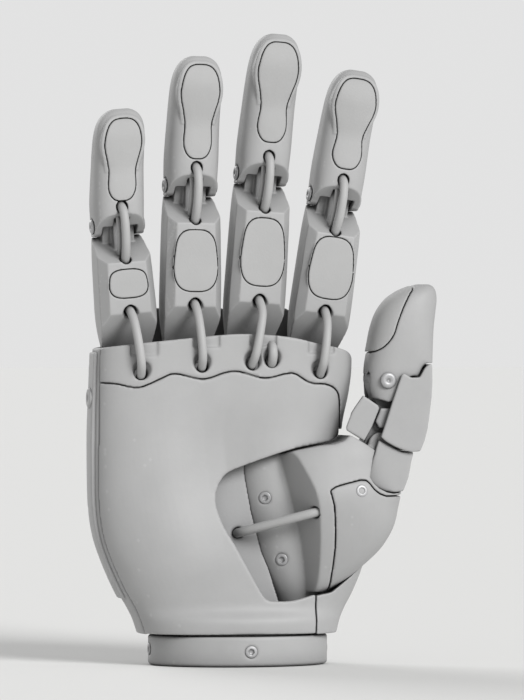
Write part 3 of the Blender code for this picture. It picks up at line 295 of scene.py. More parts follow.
BOSS_ROWS = [(-0.6, 3.4), (0.9, 3.4), (1.35, 3.1), (1.5, 2.7), (1.5, 1.5), (1.2, 1.2), (1.2, 0.4)]
SCREW_RADIUS = 2.0
SCREW_SIDES = 48  # of every turned cap too
SCREW_HEAD = [(-0.2, 1.0), (-0.02, 1.0), (0.05, 0.94), (0.09, 0.82), (0.1, 0.62)]  # in head radii
SCREW_SOCKET = [(0.1, 0.5), (0.06, 0.46), (-0.16, 0.44), (-0.18, 0.1)]
SCREW_SEAT = [(-0.45, 2.3), (0.8, 2.3)]
CUFF_SCREWS = [
    ((x * CUFF_HALF_WIDTH, y * CUFF_HALF_DEPTH, z), (x, y, 0.0))
    for x, y, z in ((0.0, -1.0, 4.7), (-1.0, 0.0, 4.9), (1.0, 0.0, 4.9), (0.0, 1.0, 4.7))
]
DRUM_SCREWS = [(7.2, 54.1), (12.7, 34.0)]
PANEL_SCREW = (36.2, 56.6)
LOWER_SCREW = (54.2, -10.0, 65.0)
OUTER_SCREW = (60.7, -9.0, 86.2)
PIVOT_CAP = [(-0.3, 2.6), (0.35, 2.6), (0.65, 2.35), (0.8, 1.9), (0.85, 0.9), (0.55, 0.55), (0.3, 0.35)]

# Studio, in metres and degrees
FLOOR_LEVEL = -0.0003
FLOOR_REACH = 30.0
FLOOR_COLOUR = (0.74, 0.74, 0.73, 1.0)
FLOOR_ROUGHNESS = 0.9
VIEW_TURN = 12.0
VIEW_DISTANCE = 1.8
VIEW_HEIGHT = 0.2286
VIEW_TARGET = Vector((7.8, -1.7, 102.2))
SURROUND = 0.42  # strength of the light from all round
BACKDROP = 0.764  # the same surround as the camera sees it, matched to the lit floor
LIGHTS = [
    ("key", (0.42, -0.85, 0.5), 2.7, 25.0),
    ("rear_fill", (-0.4, 0.9, 0.5), 1.3, 40.0),
]


# Building blocks --------------------


def solid(name, points, faces):
    """A closed mesh object in millimetres, with its faces turned outwards."""
    mesh = bpy.data.meshes.new(name)
    mesh.from_pydata([tuple(p) for p in points], [], faces)
    made = bmesh.new()
    made.from_mesh(mesh)
    bmesh.ops.recalc_face_normals(made, faces=made.faces)
    made.to_mesh(mesh)
    made.free()
    item = bpy.data.objects.new(name, mesh)
    bpy.context.collection.objects.link(item)
    return item


def refine(stations, per_gap=ROWS_PER_GAP):
    """Smooth rows through the stations: a Catmull-Rom curve through every column."""
    rows = []
    last = len(stations) - 1
    for index in range(last):
        a, b = stations[max(index - 1, 0)], stations[index]
        c, d = stations[index + 1], stations[min(index + 2, last)]
        for step in range(per_gap):
            t = step / per_gap
            rows.append(tuple(
                0.5 * (2 * q + (r - p) * t + (2 * p - 5 * q + 4 * r - s) * t * t
                       + (3 * q - p - 3 * r + s) * t ** 3)
                for p, q, r, s in zip(a, b, c, d)
            ))
    rows.append(tuple(stations[last]))
    return rows


def loft(name, rings):
    """A skin over rings of equal point count, closed by a flat face at each end."""
    count = len(rings[0])
    points = [point for ring in rings for point in ring]
    faces = [list(range(count)), [count * (len(rings) - 1) + k for k in range(count)]]
    for row in range(len(rings) - 1):
        for k in range(count):
            a = row * count + k
            b = row * count + (k + 1) % count
            faces.append([a, b, b + count, a + count])
    return solid(name, points, faces)


def prism(name, outline, along, low, high):
    """A flat outline pulled along x, y or z between two levels."""
    place = {
        "x": lambda u, v, w: (w, u, v),
        "y": lambda u, v, w: (u, w, v),
        "z": lambda u, v, w: (u, v, w),
    }[along]
    rings = [[place(u, v, level) for u, v in outline] for level in (low, high)]
    return loft(name, rings)


def box(name, low, high):
    outline = [(low[0], low[1]), (high[0], low[1]), (high[0], high[1]), (low[0], high[1])]
    return prism(name, outline, "z", low[2], high[2])


def circle(centre, radius, start=0.0, end=360.0, sides=ROUND):
    """Points on an arc in a plane; a full turn leaves out its last point."""
    whole = abs(end - start) >= 360.0
    count = sides if whole else max(2, round(sides * abs(end - start) / 360.0) + 1)
    steps = count if whole else count - 1
    turns = [math.radians(start + (end - start) * k / steps) for k in range(count)]
    return [(centre[0] + radius * math.cos(a), centre[1] + radius * math.sin(a)) for a in turns]


def ring_of(centre, side, other, radius, sides, radius_at=None):
    """Points round a centre in the plane of two directions; radius_at shapes a ring that isn't round."""
    turns = [2 * math.pi * k / sides for k in range(sides)]
    return [centre + (side * math.cos(a) + other * math.sin(a)) * (radius_at(a) if radius_at else radius)
            for a in turns]


def lathe(name, rows, point, direction, sides=ROUND, side=None):
    """A turned solid of rows (distance along the direction, radius)."""
    direction = Vector(direction).normalized()
    side = side or direction.orthogonal().normalized()
    other = direction.cross(side).normalized()
    return loft(name, [ring_of(Vector(point) + direction * s, side, other, r, sides) for s, r in rows])


def rod(name, start, end, radius, sides=ROUND):
    """A round bar between two points."""
    along = Vector(end) - Vector(start)
    return lathe(name, [(0.0, radius), (along.length, radius)], start, along, sides)


def turned(name, profile):
    """A solid turned about the thumb's axle: rows are (distance along the axle, radius)."""
    return lathe(name, profile, AXLE_POINT, AXLE_DIRECTION, SECTION_POINTS, Vector((0.0, 1.0, 0.0)))


def combine(body, tool, operation):
    """Boolean of two solids; the tool is used up."""
    change = body.modifiers.new("change", "BOOLEAN")
    change.operation = operation
    change.object = tool
    bpy.context.view_layer.update()
    graph = bpy.context.evaluated_depsgraph_get()
    result = bpy.data.meshes.new_from_object(body.evaluated_get(graph))
    body.modifiers.clear()
    body.data = result
    bpy.data.objects.remove(tool)
    return body


def cut(body, tool):
    return combine(body, tool, "DIFFERENCE")


def add(body, tool):
    return combine(body, tool, "UNION")


def keep(body, tool):
    return combine(body, tool, "INTERSECT")


def power(value, exponent):
    return math.copysign(abs(value) ** exponent, value)


def oval(left, right, front, back, squareness, z, grow=0.0, centre_y=0.0):
    """A rounded section between two sides, deeper to the front or to the back."""
    middle = (left + right) / 2
    half = (right - left) / 2 + grow
    ring = []
    for k in range(SECTION_POINTS):
        a = 2 * math.pi * k / SECTION_POINTS
        x = middle + half * power(math.cos(a), 2 / squareness)
        depth = (back if math.sin(a) > 0 else front) + grow
        ring.append(Vector((x, centre_y + depth * power(math.sin(a), 2 / squareness), z)))
    return ring


def palm_rings(grow=0.0):
    """The palm's sections, with the cupped hollow pressed into the palm side."""
    rings = []
    for z, left, right, front, back, squareness in refine(PALM_STATIONS):
        ring = oval(left, right, front, back, squareness, z, grow)
        for spot in ring:
            if spot.y < 0:
                u = (spot.x - CUP_AT[0]) / CUP_SPREAD[0]
                v = (z - CUP_AT[1]) / CUP_SPREAD[1]
                spot.y += CUP_DEPTH * math.exp(-u * u - v * v)
        rings.append(ring)
    return rings


def palm_loft(name, grow=0.0):
    return loft(name, palm_rings(grow))


def palm_hollow():
    """The inside of the palm's shell, open at the wrist and past the knuckles."""
    rings = palm_rings(-PALM_WALL)
    lower = [point - Vector((0.0, 0.0, 2.0)) for point in rings[0]]
    upper = [point + Vector((0.0, 0.0, 2.0)) for point in rings[-1]]
    return loft("palm_hollow", [lower, *rings, upper])


def finger_ring(half_width, palmar, dorsal, bevel, shift, z, grow=0.0):
    """A section of a finger: flat palm side, bevelled edges, straight sides, round back."""
    half_width, palmar, dorsal = half_width + grow, palmar + grow, dorsal + grow
    bevel += 0.59 * grow
    middle = (dorsal - palmar) / 2
    rise = min(1.15 * bevel, 0.8 * (middle + palmar))
    ring = [(bevel - half_width, -palmar), (half_width - bevel, -palmar), (half_width, rise - palmar)]
    for k in range(BACK_POINTS + 1):
        a = math.pi * k / BACK_POINTS
        ring.append((half_width * power(math.cos(a), 0.8),
                     middle + (dorsal - middle) * power(math.sin(a), 0.8)))
    ring.append((-half_width, rise - palmar))
    return [Vector((x + shift, y, z)) for x, y in ring]


def proximal_stations(length):
    """(z, half width, palm side, back, bevel, sideways shift) of a first phalanx."""
    rows = [
        (-length - drop, HEEL_HALF, FINGER_DEPTH, KNUCKLE_DEPTH + math.sqrt(DRUM_RADIUS ** 2 - drop ** 2))
        for drop in (HEEL, 3.6, 1.6)
    ]
    rows += [(z, half, FINGER_DEPTH, FINGER_DEPTH) for z, half in (
        (-length + 1.0, HEEL_HALF), (-length + 7.6, 9.1), (-length + CREASE, 9.5))]
    rows += [(-length * 0.5 - 2.0, 9.4, FINGER_DEPTH + 0.2, FINGER_DEPTH),
             (-11.0, 9.0, FINGER_DEPTH, FINGER_DEPTH), (SHOULDER + 0.6, EAR_HALF, FINGER_DEPTH, FINGER_DEPTH)]
    return [(*row, FINGER_BEVEL, 0.0) for row in rows]


def distal_stations(length, lean):
    """The same columns for a fingertip, which curls to the palm side and leans sideways."""
    shape = [
        (-3.8 / length, EAR_HALF, 8.5, 8.5, 2.7), (0.03, EAR_HALF, 8.5, 8.5, 2.7),
        (0.20, 8.6, 8.4, 8.4, 2.9), (0.36, 8.5, 8.0, 8.0, 3.2), (0.50, 8.4, 7.8, 7.2, 3.6),
        (0.64, 8.4, 8.2, 6.1, 4.0), (0.77, 8.3, 8.6, 4.6, 4.4), (0.87, 7.7, 8.2, 2.8, 4.4),
        (0.94, 6.4, 7.2, 1.1, 3.5), (0.98, 4.6, 6.2, -0.4, 2.2), (1.0, 2.6, 5.2, -1.6, 1.2),
    ]
    bend = math.tan(math.radians(lean))
    return [
        (t * length, half, palmar, dorsal, bevel, max(t * length - 4.0, 0.0) * bend)
        for t, half, palmar, dorsal, bevel in shape
    ]


def finger_loft(name, stations, grow=0.0):
    rings = [
        finger_ring(half, palmar, dorsal, bevel, shift, z, grow)
        for z, half, palmar, dorsal, bevel, shift in refine(stations)
    ]
    return loft(name, rings)


def pad_outline(bottom, top, bottom_half, waist_half, top_half, lean=0.0, inset=0.0):
    """A rounded pad seen from the front, narrower at its waist than at either end."""
    middle = (bottom + top) / 2
    height = (top - bottom) / 2 - inset
    bend = math.tan(math.radians(lean))
    outline = []
    for k in range(PAD_POINTS):
        a = 2 * math.pi * k / PAD_POINTS
        v = power(math.sin(a), 2 / 3.0)
        end_half, reach = (top_half, 0.75) if v > PAD_WAIST else (bottom_half, 0.5)
        widening = min(abs(v - PAD_WAIST) / reach, 1.0)
        widening = widening * widening * (3 - 2 * widening)
        half = waist_half + (end_half - waist_half) * widening - inset
        z = middle + height * v
        outline.append((half * power(math.cos(a), 2 / 3.0) + max(z - 4.0, 0.0) * bend, z))
    return outline


def finger_frame(finger):
    """World placement of a finger's own frame."""
    turn = Matrix.Rotation(math.radians(finger["tilt"]), 4, "Y")
    spin = Matrix.Rotation(math.radians(FINGER_TURN), 4, "Z")
    return Matrix.Translation(finger["pip"]) @ turn @ spin


def hull(points):
    """The convex outline around points in a plane."""
    points = sorted(set(points))

    def half(run):
        line = []
        for p in run:
            while len(line) > 1 and ((line[-1][0] - line[-2][0]) * (p[1] - line[-2][1])
                                     - (line[-1][1] - line[-2][1]) * (p[0] - line[-2][0])) <= 0:
                line.pop()
            line.append(p)
        return line[:-1]

    return half(points) + half(points[::-1])


def grown(outline, distance):
    """An outline with every side moved outwards by the same distance."""
    area = sum(a[0] * b[1] - b[0] * a[1] for a, b in zip(outline, outline[1:] + outline[:1]))
    sign = math.copysign(1.0, area)
    result = []
    for k, here in enumerate(outline):
        before, after = outline[k - 1], outline[(k + 1) % len(outline)]
        first = Vector((here[0] - before[0], here[1] - before[1])).normalized()
        second = Vector((after[0] - here[0], after[1] - here[1])).normalized()
        normal = Vector((first.y + second.y, -first.x - second.x)).normalized()
        stretch = max(normal.dot(Vector((first.y, -first.x))), 0.5)
        result.append((here[0] + sign * normal.x * distance / stretch,
                       here[1] + sign * normal.y * distance / stretch))
    return result


def inset(outline, distance):
    return grown(outline, -distance)


def front_region(shift=0.0):
    """The part of the plan that lies on the palm side of the shell's split, moved back by a shift."""
    radial, ulnar = SPLIT_RADIAL + shift, SPLIT_ULNAR + shift
    outline = [(-60.0, -40.0), (70.0, -40.0), (70.0, radial), (20.0, radial), (-20.0, ulnar), (-60.0, ulnar)]
    return prism("front", outline, "z", 0.0, 130.0)


def through(outline):
    """An outline pulled right through the palm and the thumb."""
    return prism("through", outline, "y", -40.0, 40.0)


def palm_shell(name):
    return cut(palm_loft(name), palm_hollow())


def below(line, low):
    """The outline under a line, down to a level."""
    return [(line[0][0], low), *line, (line[-1][0], low)]


def above(line, high):
    return [(line[0][0], high), *line, (line[-1][0], high)]


def cuff_ring(z, grow):
    turns = [2 * math.pi * k / CUFF_SIDES for k in range(CUFF_SIDES)]
    across, deep = CUFF_HALF_WIDTH + grow, CUFF_HALF_DEPTH + grow
    return [Vector((across * math.cos(a), deep * math.sin(a), z)) for a in turns]


def across(name, outline, half):
    """A prism across the thumb, centred on its mid plane."""
    return prism(name, outline, "y", THUMB_PLANE - half, THUMB_PLANE + half)


def base_loft(name, grow=0.0):
    rings = [
        oval(left, right, -front, back, squareness, z, grow)
        for z, left, right, front, back, squareness in refine(BASE_STATIONS)
    ]
    return loft(name, rings)


def tip_loft(name, grow=0.0):
    rings = [
        oval(left, right, half, half, squareness, z, grow, THUMB_PLANE)
        for z, left, right, half, squareness in refine(TIP_STATIONS)
    ]
    return loft(name, rings)


# Finishes --------------------


CLOUD_SCALE = 38.0
GRAIN_DEPTH = 0.0002
TONE_STOPS = (0.32, 0.68)
EDGE_START, EDGE_END = 0.52, 0.62  # pointiness from a flat surface to a fully paler edge: wear with a painted highlight
# pale colour of sharp edges: wear with a painted highlight
EDGE_WEAR_AND_HIGHLIGHT_COLOUR = (0.78, 0.78, 0.78, 1.0)
PAINTED_SHADE_REACH = 0.011  # painted shade: metres from a surface at which a neighbour still darkens its colour
# painted shade: colour of a fully shaded nook, as a share of the base colour
PAINTED_SHADE_TONE = 0.22
PAINTED_SHADE_OPEN = (0.08, 0.8)  # painted shade: openness at which a nook gets the full darker colour, and at which a surface keeps its own
PLASTIC_IOR = 1.46


def add_node(tree, kind, values=None, wires=None, **settings):
    """A shader node with its settings, the values of its sockets and the outputs wired into them."""
    made = tree.nodes.new("ShaderNode" + kind)
    for name, value in settings.items():
        setattr(made, name, value)
    for socket, value in (values or {}).items():
        made.inputs[socket].default_value = value
    for socket, output in (wires or {}).items():
        tree.links.new(output, made.inputs[socket])
    return made


def finish_material(name, colour, roughness, metallic=0.0, grain=900.0, bump=0.12, mottle=0.05, wear_and_highlight=0.10):
    """Matte finish: cloudy tone, fine moulded grain, paler edges (wear with a painted highlight), painted
    shade darkening nooks and uneven gloss.
    """
    made = bpy.data.materials.new(name)
    made.use_nodes = True
    tree = made.node_tree
    shader = tree.nodes["Principled BSDF"]
    shader.inputs["Metallic"].default_value = metallic
    shader.inputs["IOR"].default_value = PLASTIC_IOR
    spot = add_node(tree, "TexCoord").outputs["Object"]

    noise = {"Scale": CLOUD_SCALE, "Detail": 6.0, "Roughness": 0.62}
    clouds = add_node(tree, "TexNoise", noise, {"Vector": spot}).outputs["Fac"]
    tone = add_node(tree, "ValToRGB", wires={"Fac": clouds})
    for stop, place, level in zip(tone.color_ramp.elements, TONE_STOPS, (1.0 - mottle, 1.0 + mottle)):
        stop.position = place
        stop.color = (*(c * level for c in colour), 1.0)

    geometry = add_node(tree, "NewGeometry")
    # Paler sharp edges: wear with a painted highlight
    edge = add_node(tree, "MapRange", {"From Min": EDGE_START, "From Max": EDGE_END, "To Max": wear_and_highlight},
                    {"Value": geometry.outputs["Pointiness"]})
    worn_and_highlit = add_node(tree, "Mix", {"B": EDGE_WEAR_AND_HIGHLIGHT_COLOUR},
                    {"Factor": edge.outputs["Result"], "A": tone.outputs["Color"]}, data_type="RGBA")
    # Painted shade: ambient occlusion darkens the colour in nooks, seams and gaps
    shade_probe = add_node(tree, "AmbientOcclusion", {"Distance": PAINTED_SHADE_REACH}, samples=8)
    open_range = {"From Min": PAINTED_SHADE_OPEN[0], "From Max": PAINTED_SHADE_OPEN[1]}
    clear = add_node(tree, "MapRange", open_range, {"Value": shade_probe.outputs["AO"]})
    painted_shade_colour = add_node(tree, "Mix", {"A": (*(c * PAINTED_SHADE_TONE for c in colour), 1.0)},
                      {"Factor": clear.outputs["Result"], "B": worn_and_highlit.outputs["Result"]}, data_type="RGBA")
    gloss = add_node(tree, "MapRange", {"To Min": roughness - 0.05, "To Max": roughness + 0.07},
                     {"Value": clouds})

    fine = add_node(tree, "TexNoise", {"Scale": grain, "Detail": 3.0}, {"Vector": spot})
    relief = add_node(tree, "Bump", {"Strength": bump, "Distance": GRAIN_DEPTH},
                      {"Height": fine.outputs["Fac"]})
    for socket, output in (("Base Color", painted_shade_colour.outputs["Result"]), ("Roughness", gloss.outputs["Result"]),
                           ("Normal", relief.outputs["Normal"])):
        tree.links.new(output, shader.inputs[socket])
    return made


# the wear value sets how much paler sharp edges get: wear with a painted highlight
FINISHES = {
    "shell": finish_material("shell_plastic", (0.37, 0.37, 0.37), 0.52),
    "frame": finish_material("frame_plastic", (0.36, 0.36, 0.362), 0.5, bump=0.16),
    "pad": finish_material("pad_rubber", (0.375, 0.375, 0.373), 0.6, grain=1500.0, bump=0.2, wear_and_highlight=0.04),
    "steel": finish_material("satin_metal", (0.40, 0.40, 0.405), 0.42, metallic=0.3, grain=2200.0, bump=0.08),
    "cord": finish_material("cord_sheath", (0.40, 0.40, 0.398), 0.55, grain=2600.0, bump=0.25, wear_and_highlight=0.0),
    "motor": finish_material("motor_can", (0.32, 0.32, 0.33), 0.38, metallic=0.7, grain=1800.0, bump=0.06),
}


# Finished pieces --------------------


def soften(item, voxel, passes):
    """Rebuilds a solid as an even fine skin and rounds its edges over."""
    rebuilt = item.modifiers.new("skin", "REMESH")
    rebuilt.mode = "VOXEL"
    rebuilt.voxel_size = voxel
    rounding = item.modifiers.new("rounding", "SMOOTH")
    rounding.factor = 0.5
    rounding.iterations = passes
    bpy.context.view_layer.update()
    graph = bpy.context.evaluated_depsgraph_get()
    item.data = bpy.data.meshes.new_from_object(item.evaluated_get(graph))
    item.modifiers.clear()


def dress(item, body, kind, nodes=(), placing=None):
    """Sets a finished piece into the model in metres, gives it its finish and its body."""
    placing = placing or Matrix.Identity(4)
    item.data.transform(Matrix.Scale(MM, 4) @ placing)
    item.data.materials.clear()
    item.data.materials.append(FINISHES[kind])
    item.data.shade_smooth()
    if body:
        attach(item, body)
    if nodes:
        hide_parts(*nodes)
    return item


def skin(item, body, kind, node, voxel=0.35, passes=6, placing=None):
    """A softened skin that stands for one node."""
    item.name = f"{node}_skin"
    soften(item, voxel, passes)
    return dress(item, body, kind, (node,), placing)


def socket_screw(name, point, direction, body):
    """A round-headed screw with a hexagon socket, sunk a little into its seat."""
    direction = Vector(direction).normalized()
    side = direction.orthogonal().normalized()
    other = direction.cross(side)

    def level(height):
        return Vector(point) + direction * height * SCREW_RADIUS

    def hexagon(half_flat):
        return lambda a: half_flat * SCREW_RADIUS / math.cos(a % (math.pi / 3) - math.pi / 6)

    rings = [ring_of(level(s), side, other, r * SCREW_RADIUS, SCREW_SIDES) for s, r in SCREW_HEAD]
    rings += [ring_of(level(s), side, other, 0.0, SCREW_SIDES, hexagon(flat)) for s, flat in SCREW_SOCKET]
    return dress(loft(name, rings), body, "steel")


def tube(name, route, radius):
    """A round cord through points in millimetres."""
    points = [Vector(p) for p in refine(route, CORD_POINTS)]
    rings = []
    side = Vector((1.0, 0.0, 0.0))
    for index, point in enumerate(points):
        along = (points[min(index + 1, len(points) - 1)] - points[max(index - 1, 0)]).normalized()
        side = (side - along * side.dot(along)).normalized()
        rings.append(ring_of(point, side, along.cross(side), radius, CORD_SIDES))
    return loft(name, rings)


def front_spot(item, x, z):
    """Where a line along +Y at x, z first meets a piece in millimetres: place and normal."""
    _, place, normal, _ = item.ray_cast(Vector((x, -80.0, z)), Vector((0.0, 1.0, 0.0)))
    return place, normal


# Fingers --------------------


def swell(item, middle, reach, half_width, amount):
    """Crowns a pad's palm side around a height."""
    for vertex in item.data.vertices:
        u = vertex.co.x / half_width
        v = (vertex.co.z - middle) / reach
        if vertex.co.y < PAD_BACK and abs(u) < 1.0 and abs(v) < 1.0:
            vertex.co.y -= amount * (1.0 - u * u) * (1.0 - v * v) ** 2


def soft_loft(name, stations, squareness, grow=0.0):
    """A fingertip whose sections are rounded all over; squareness is a function of height."""
    rings = []
    for z, half, palmar, dorsal, _, shift in refine(stations):
        half, palmar, dorsal = half + grow, palmar + grow, dorsal + grow
        middle = (dorsal - palmar) / 2
        front = 2.0 / squareness(z)
        ring = []
        for k in range(SECTION_POINTS):
            a = 2 * math.pi * k / SECTION_POINTS
            power_of = 0.8 if math.sin(a) > 0 else front
            reach = dorsal - middle if math.sin(a) > 0 else palmar + middle
            ring.append(Vector((half * power(math.cos(a), power_of) + shift,
                                middle + reach * power(math.sin(a), power_of), z)))
        rings.append(ring)
    return loft(name, rings)


def inlaid_pad(name, phalanx, form, shape, rims):
    """A soft pad in a pocket of the palm side; form(name, grow) makes the bed's shape.

    Rims are (outset, lowest height, rise) bands round the pad that stand up from the phalanx.
    """
    for outset, low, rise in rims:
        raised = form("raised", rise)
        keep(raised, prism("limit", pad_outline(*shape, inset=-outset), "y", -20.0, PAD_BACK))
        add(phalanx, keep(raised, box("height", (-14.0, -20.0, low), (14.0, 20.0, 60.0))))
    pocket = prism("pocket", pad_outline(*shape), "y", -20.0, PAD_BACK)
    cut(pocket, form("floor", -PAD_SINK - GAP))
    cut(phalanx, pocket)
    pad = form(name, SKIN_STEP)
    keep(pad, prism("limit", pad_outline(*shape, inset=PAD_SEAM), "y", -20.0, PAD_BACK))
    cut(pad, form("back", -PAD_SINK))
    return pad


def proximal_phalanx(name, finger):
    length = finger["proximal"]
    stations = proximal_stations(length)
    body = finger_loft(name, stations)
    slope = (SHOULDER - BROW[1]) / (3.0 - BROW[0])
    profile = [
        (14.0, SHOULDER), (3.0, SHOULDER), (-14.0, SHOULDER - 17.0 * slope),
        (-14.0, -length + CREASE + (14.0 - FINGER_DEPTH) / CHAMFER),
        (-FINGER_DEPTH + (CREASE + 8.0) * CHAMFER, -length - 8.0), (14.0, -length - 8.0),
    ]
    bottom, top, bottom_half, top_half = finger["pad"]
    shape = (bottom, top, bottom_half, bottom_half, top_half, 0.0)
    bed = [(z, half, palmar, dorsal, BED_BEVEL, shift) for z, half, palmar, dorsal, _, shift in stations]
    pad = inlaid_pad("pad", body, lambda part, grow: finger_loft(part, bed, grow), shape,
                     [(BED_EDGE, bottom - 5.0, BED_RISE)])
    keep(body, prism("profile", profile, "x", -14.0, 14.0))
    knuckle = (KNUCKLE_DEPTH, -length)
    lug = hull(circle(knuckle, LUG_RADIUS) + [(4.0, -length + 2.0), (5.0, -length - 3.0)])
    add(body, prism("lug", lug, "x", -LUG_HALF, LUG_HALF))
    tongue = hull(circle((0.0, 0.0), 3.1) + [(-3.0, -9.0), (6.0, -9.0)])
    add(body, prism("tongue", tongue, "x", -TONGUE_HALF, TONGUE_HALF))
    dome = circle((0.0, 0.0), DOME_RADIUS, -55.0, 110.0, FINE) + [(0.0, -6.0)]
    add(body, prism("dome", dome, "x", -DOME_HALF, DOME_HALF))
    cut(body, prism("channel", BROW_CHANNEL, "y", -14.0, CHANNEL_FLOOR))
    entry = -length + CREASE + 0.6
    cut(body, rod("entry", (0.0, -14.0, entry - 3.0), (0.0, -1.0, entry + 3.6), CORD_HOLE + 0.15))
    cut(body, lathe("dish", HOLE_DISH, (0.0, -FINGER_DEPTH, entry - 0.4), (0.0, 1.0, 0.35)))
    cut(body, rod("exit", (0.0, -12.0, -8.0), (0.0, -1.0, -15.5), CORD_HOLE))
    return body, pad


def distal_phalanx(name, finger):
    length = finger["distal"]
    stations = distal_stations(length, finger["lean"])
    body = soft_loft(name, stations, lambda z: TIP_SQUARENESS)
    slope = (ARCH[1] + 1.6) / (ARCH[0] + 2.6)
    profile = [(14.0, -EAR_SKIN)] + circle((0.0, 0.0), EAR_SKIN, -90.0, -145.0, FINE) + [
        ARCH, (-14.0, ARCH[1] + (-14.0 - ARCH[0]) * slope), (-14.0, length + 4.0),
        (14.0, length + 4.0),
    ]
    keep(body, prism("profile", profile, "x", -14.0, 14.0))
    below_hinge = [(-12.0, -9.0), (7.4, -9.0)]
    slot = circle((0.0, 0.0), HOLLOW_RADIUS, 0.0, 180.0, FINE) + [(-12.0, 0.0)] + below_hinge
    cut(body, prism("slot", slot, "x", -TONGUE_HALF - GAP, TONGUE_HALF + GAP))
    cavity = circle((0.0, 0.0), HOLLOW_RADIUS, 0.0, HOLLOW_END, FINE) + [*HOLLOW_FRONT] + below_hinge
    cut(body, prism("hollow", cavity, "x", -HOLLOW_HALF, HOLLOW_HALF))
    bottom, top, bottom_half, waist_half, top_half = finger["tip_pad"]
    shape = (bottom, top, bottom_half, waist_half, top_half, finger["lean"])
    waist = bottom + 0.40 * (top - bottom)

    def bed_squareness(z):
        flat = min(max((z - waist) / (0.16 * length), 0.0), 1.0)
        return TIP_SQUARENESS + (BED_SQUARENESS - TIP_SQUARENESS) * flat * flat * (3.0 - 2.0 * flat)

    pad = inlaid_pad("tip_pad", body, lambda part, grow: soft_loft(part, stations, bed_squareness, grow),
                     shape, [(RIM_WIDTH, waist - 1.0, RIM_RISE)])
    cut(body, rod("entry", (0.0, -14.0, 3.4), (0.0, -2.5, 8.0), CORD_HOLE))
    for side in (-1, 1):
        cut(body, lathe("seat", CAP_SEAT, (side * EAR_HALF, 0.0, 0.0), (side, 0.0, 0.0)))
    return body, pad


def crown_tip_pad(pad, finger):
    """The fingertip pad's two lobes stand proud of its waist."""
    bottom, top, *_ = finger["tip_pad"]
    height = top - bottom
    swell(pad, bottom + 0.68 * height, 0.36 * height, 8.5, TIP_CROWN)
    swell(pad, bottom + 0.14 * height, 0.22 * height, 7.0, 0.35 * TIP_CROWN)


def pin_with_caps(name, half_length, cap_radius):
    """A hinge pin along x whose ends are low domed caps."""
    half = [(0.0, PIN_RADIUS), (0.0, cap_radius), (0.35, cap_radius), (0.6, 0.86 * cap_radius),
            (0.72, 0.6 * cap_radius), (0.72, 0.34 * cap_radius), (0.45, 0.22 * cap_radius)]
    rows = [(-half_length - s, r) for s, r in reversed(half)]
    rows += [(half_length + s, r) for s, r in half]
    return lathe(name, rows, (0.0, 0.0, 0.0), (1.0, 0.0, 0.0))


def knuckle_cord(finger, placing):
    """The pull cord from its hole in the knuckle band up to the first phalanx."""
    x, z = finger["hole"]
    top = -finger["proximal"] + CREASE
    bend = placing @ Vector((0.0, -12.6, top - 3.6))
    hole = Vector((x, -12.8, z - 0.3))
    span = [hole.lerp(bend, t) + Vector((0.0, -bow, 0.0)) for t, bow in ((0.22, 2.6), (0.6, 2.4))]
    return [
        (x, -10.2, z - 1.6), tuple(hole), *[tuple(point) for point in span], tuple(bend),
        tuple(placing @ Vector((0.0, -9.0, top))), tuple(placing @ Vector((0.0, -5.2, top + 1.8))),
    ]


def bend_cord(name, route, radius, node):
    """A cord along a route that stands for a node when one is given; it rides on no body and its placement is
    baked into its mesh.
    """
    item = dress(tube(name, route, radius), None, "cord", (node,) if node else ())
    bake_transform(item)


def build_finger(name, finger):
    placing = finger_frame(finger)
    first, last = f"{name}_proximal", f"{name}_distal"
    body, pad = proximal_phalanx(first, finger)
    bottom, top, *_ = finger["pad"]
    swell(pad, (bottom + top) / 2, (top - bottom) * 0.6, 9.0, PAD_CROWN)
    tip, tip_pad = distal_phalanx(last, finger)
    crown_tip_pad(tip_pad, finger)
    for shell, inlay, rider, kind in ((body, pad, first, "pad"), (tip, tip_pad, last, "tip_pad")):
        skin(shell, rider, "shell", rider, *PHALANX_GRID, placing)
        skin(inlay, rider, "pad", f"{name}_{kind}", *PAD_GRID, placing)
    pin = pin_with_caps(f"{name}_middle_pin_capped", EAR_HALF - 0.1, 2.35)
    dress(pin, first, "steel", (f"{name}_middle_pin",), placing)

    route = knuckle_cord(finger, placing)
    bend_cord(f"{name}_knuckle_tendon", route, CORD_RADIUS, f"{name}_knuckle_cord")
    route = [tuple(placing @ Vector((0.0, y, z))) for y, z in MIDDLE_ROUTE]
    bend_cord(f"{name}_middle_tendon", route, CORD_RADIUS, f"{name}_middle_cord")
    route = [tuple(placing @ Vector((RETURN_X, y, z))) for y, z in RETURN_ROUTE]
    bend_cord(f"{name}_return_tendon", route, RETURN_RADIUS, None)


# Palm --------------------


def palm_cover():
    cover = palm_shell("palm_cover")
    keep(cover, front_region())
    keep(cover, through(inset(below(refine(SEAM_LINE), 10.0), GAP / 2)))
    edge = [THENAR_EDGE[0], *refine(THENAR_EDGE[1:-2]), *THENAR_EDGE[-2:]]
    cut(cover, prism("opening", edge, "y", -40.0, 12.0))
    return cut(cover, box("side", (WRIST_COVER_LEFT - GAP, -40.0, 0.0), (70.0, 12.0, 30.0)))


def knuckle_band():
    band = palm_shell("knuckle_band")
    keep(band, front_region())
    keep(band, through(below(refine(KNUCKLE_LINE), 60.0)))
    seam = grown(below(refine(SEAM_LINE), 50.0), GAP / 2)
    cut(band, through(seam))
    cut(band, box("thumb_side", (25.0, -40.0, 40.0), (70.0, 20.0, 76.4)))
    for centre, low in BAND_NOTCHES:
        recess = box("recess", (centre - NOTCH_HALF, -30.0, low), (centre + NOTCH_HALF, -6.0, 120.0))
        cut(recess, palm_loft("floor", -NOTCH_DEPTH))
        cut(band, recess)
    for x, z in [finger["hole"] for finger in FINGERS.values()] + [(PEG_X, PEG_HEIGHT)]:
        place, _ = front_spot(band, x, z)
        cut(band, lathe("dish", BAND_DISH, place, (0.0, 1.0, -0.45)))
    return band


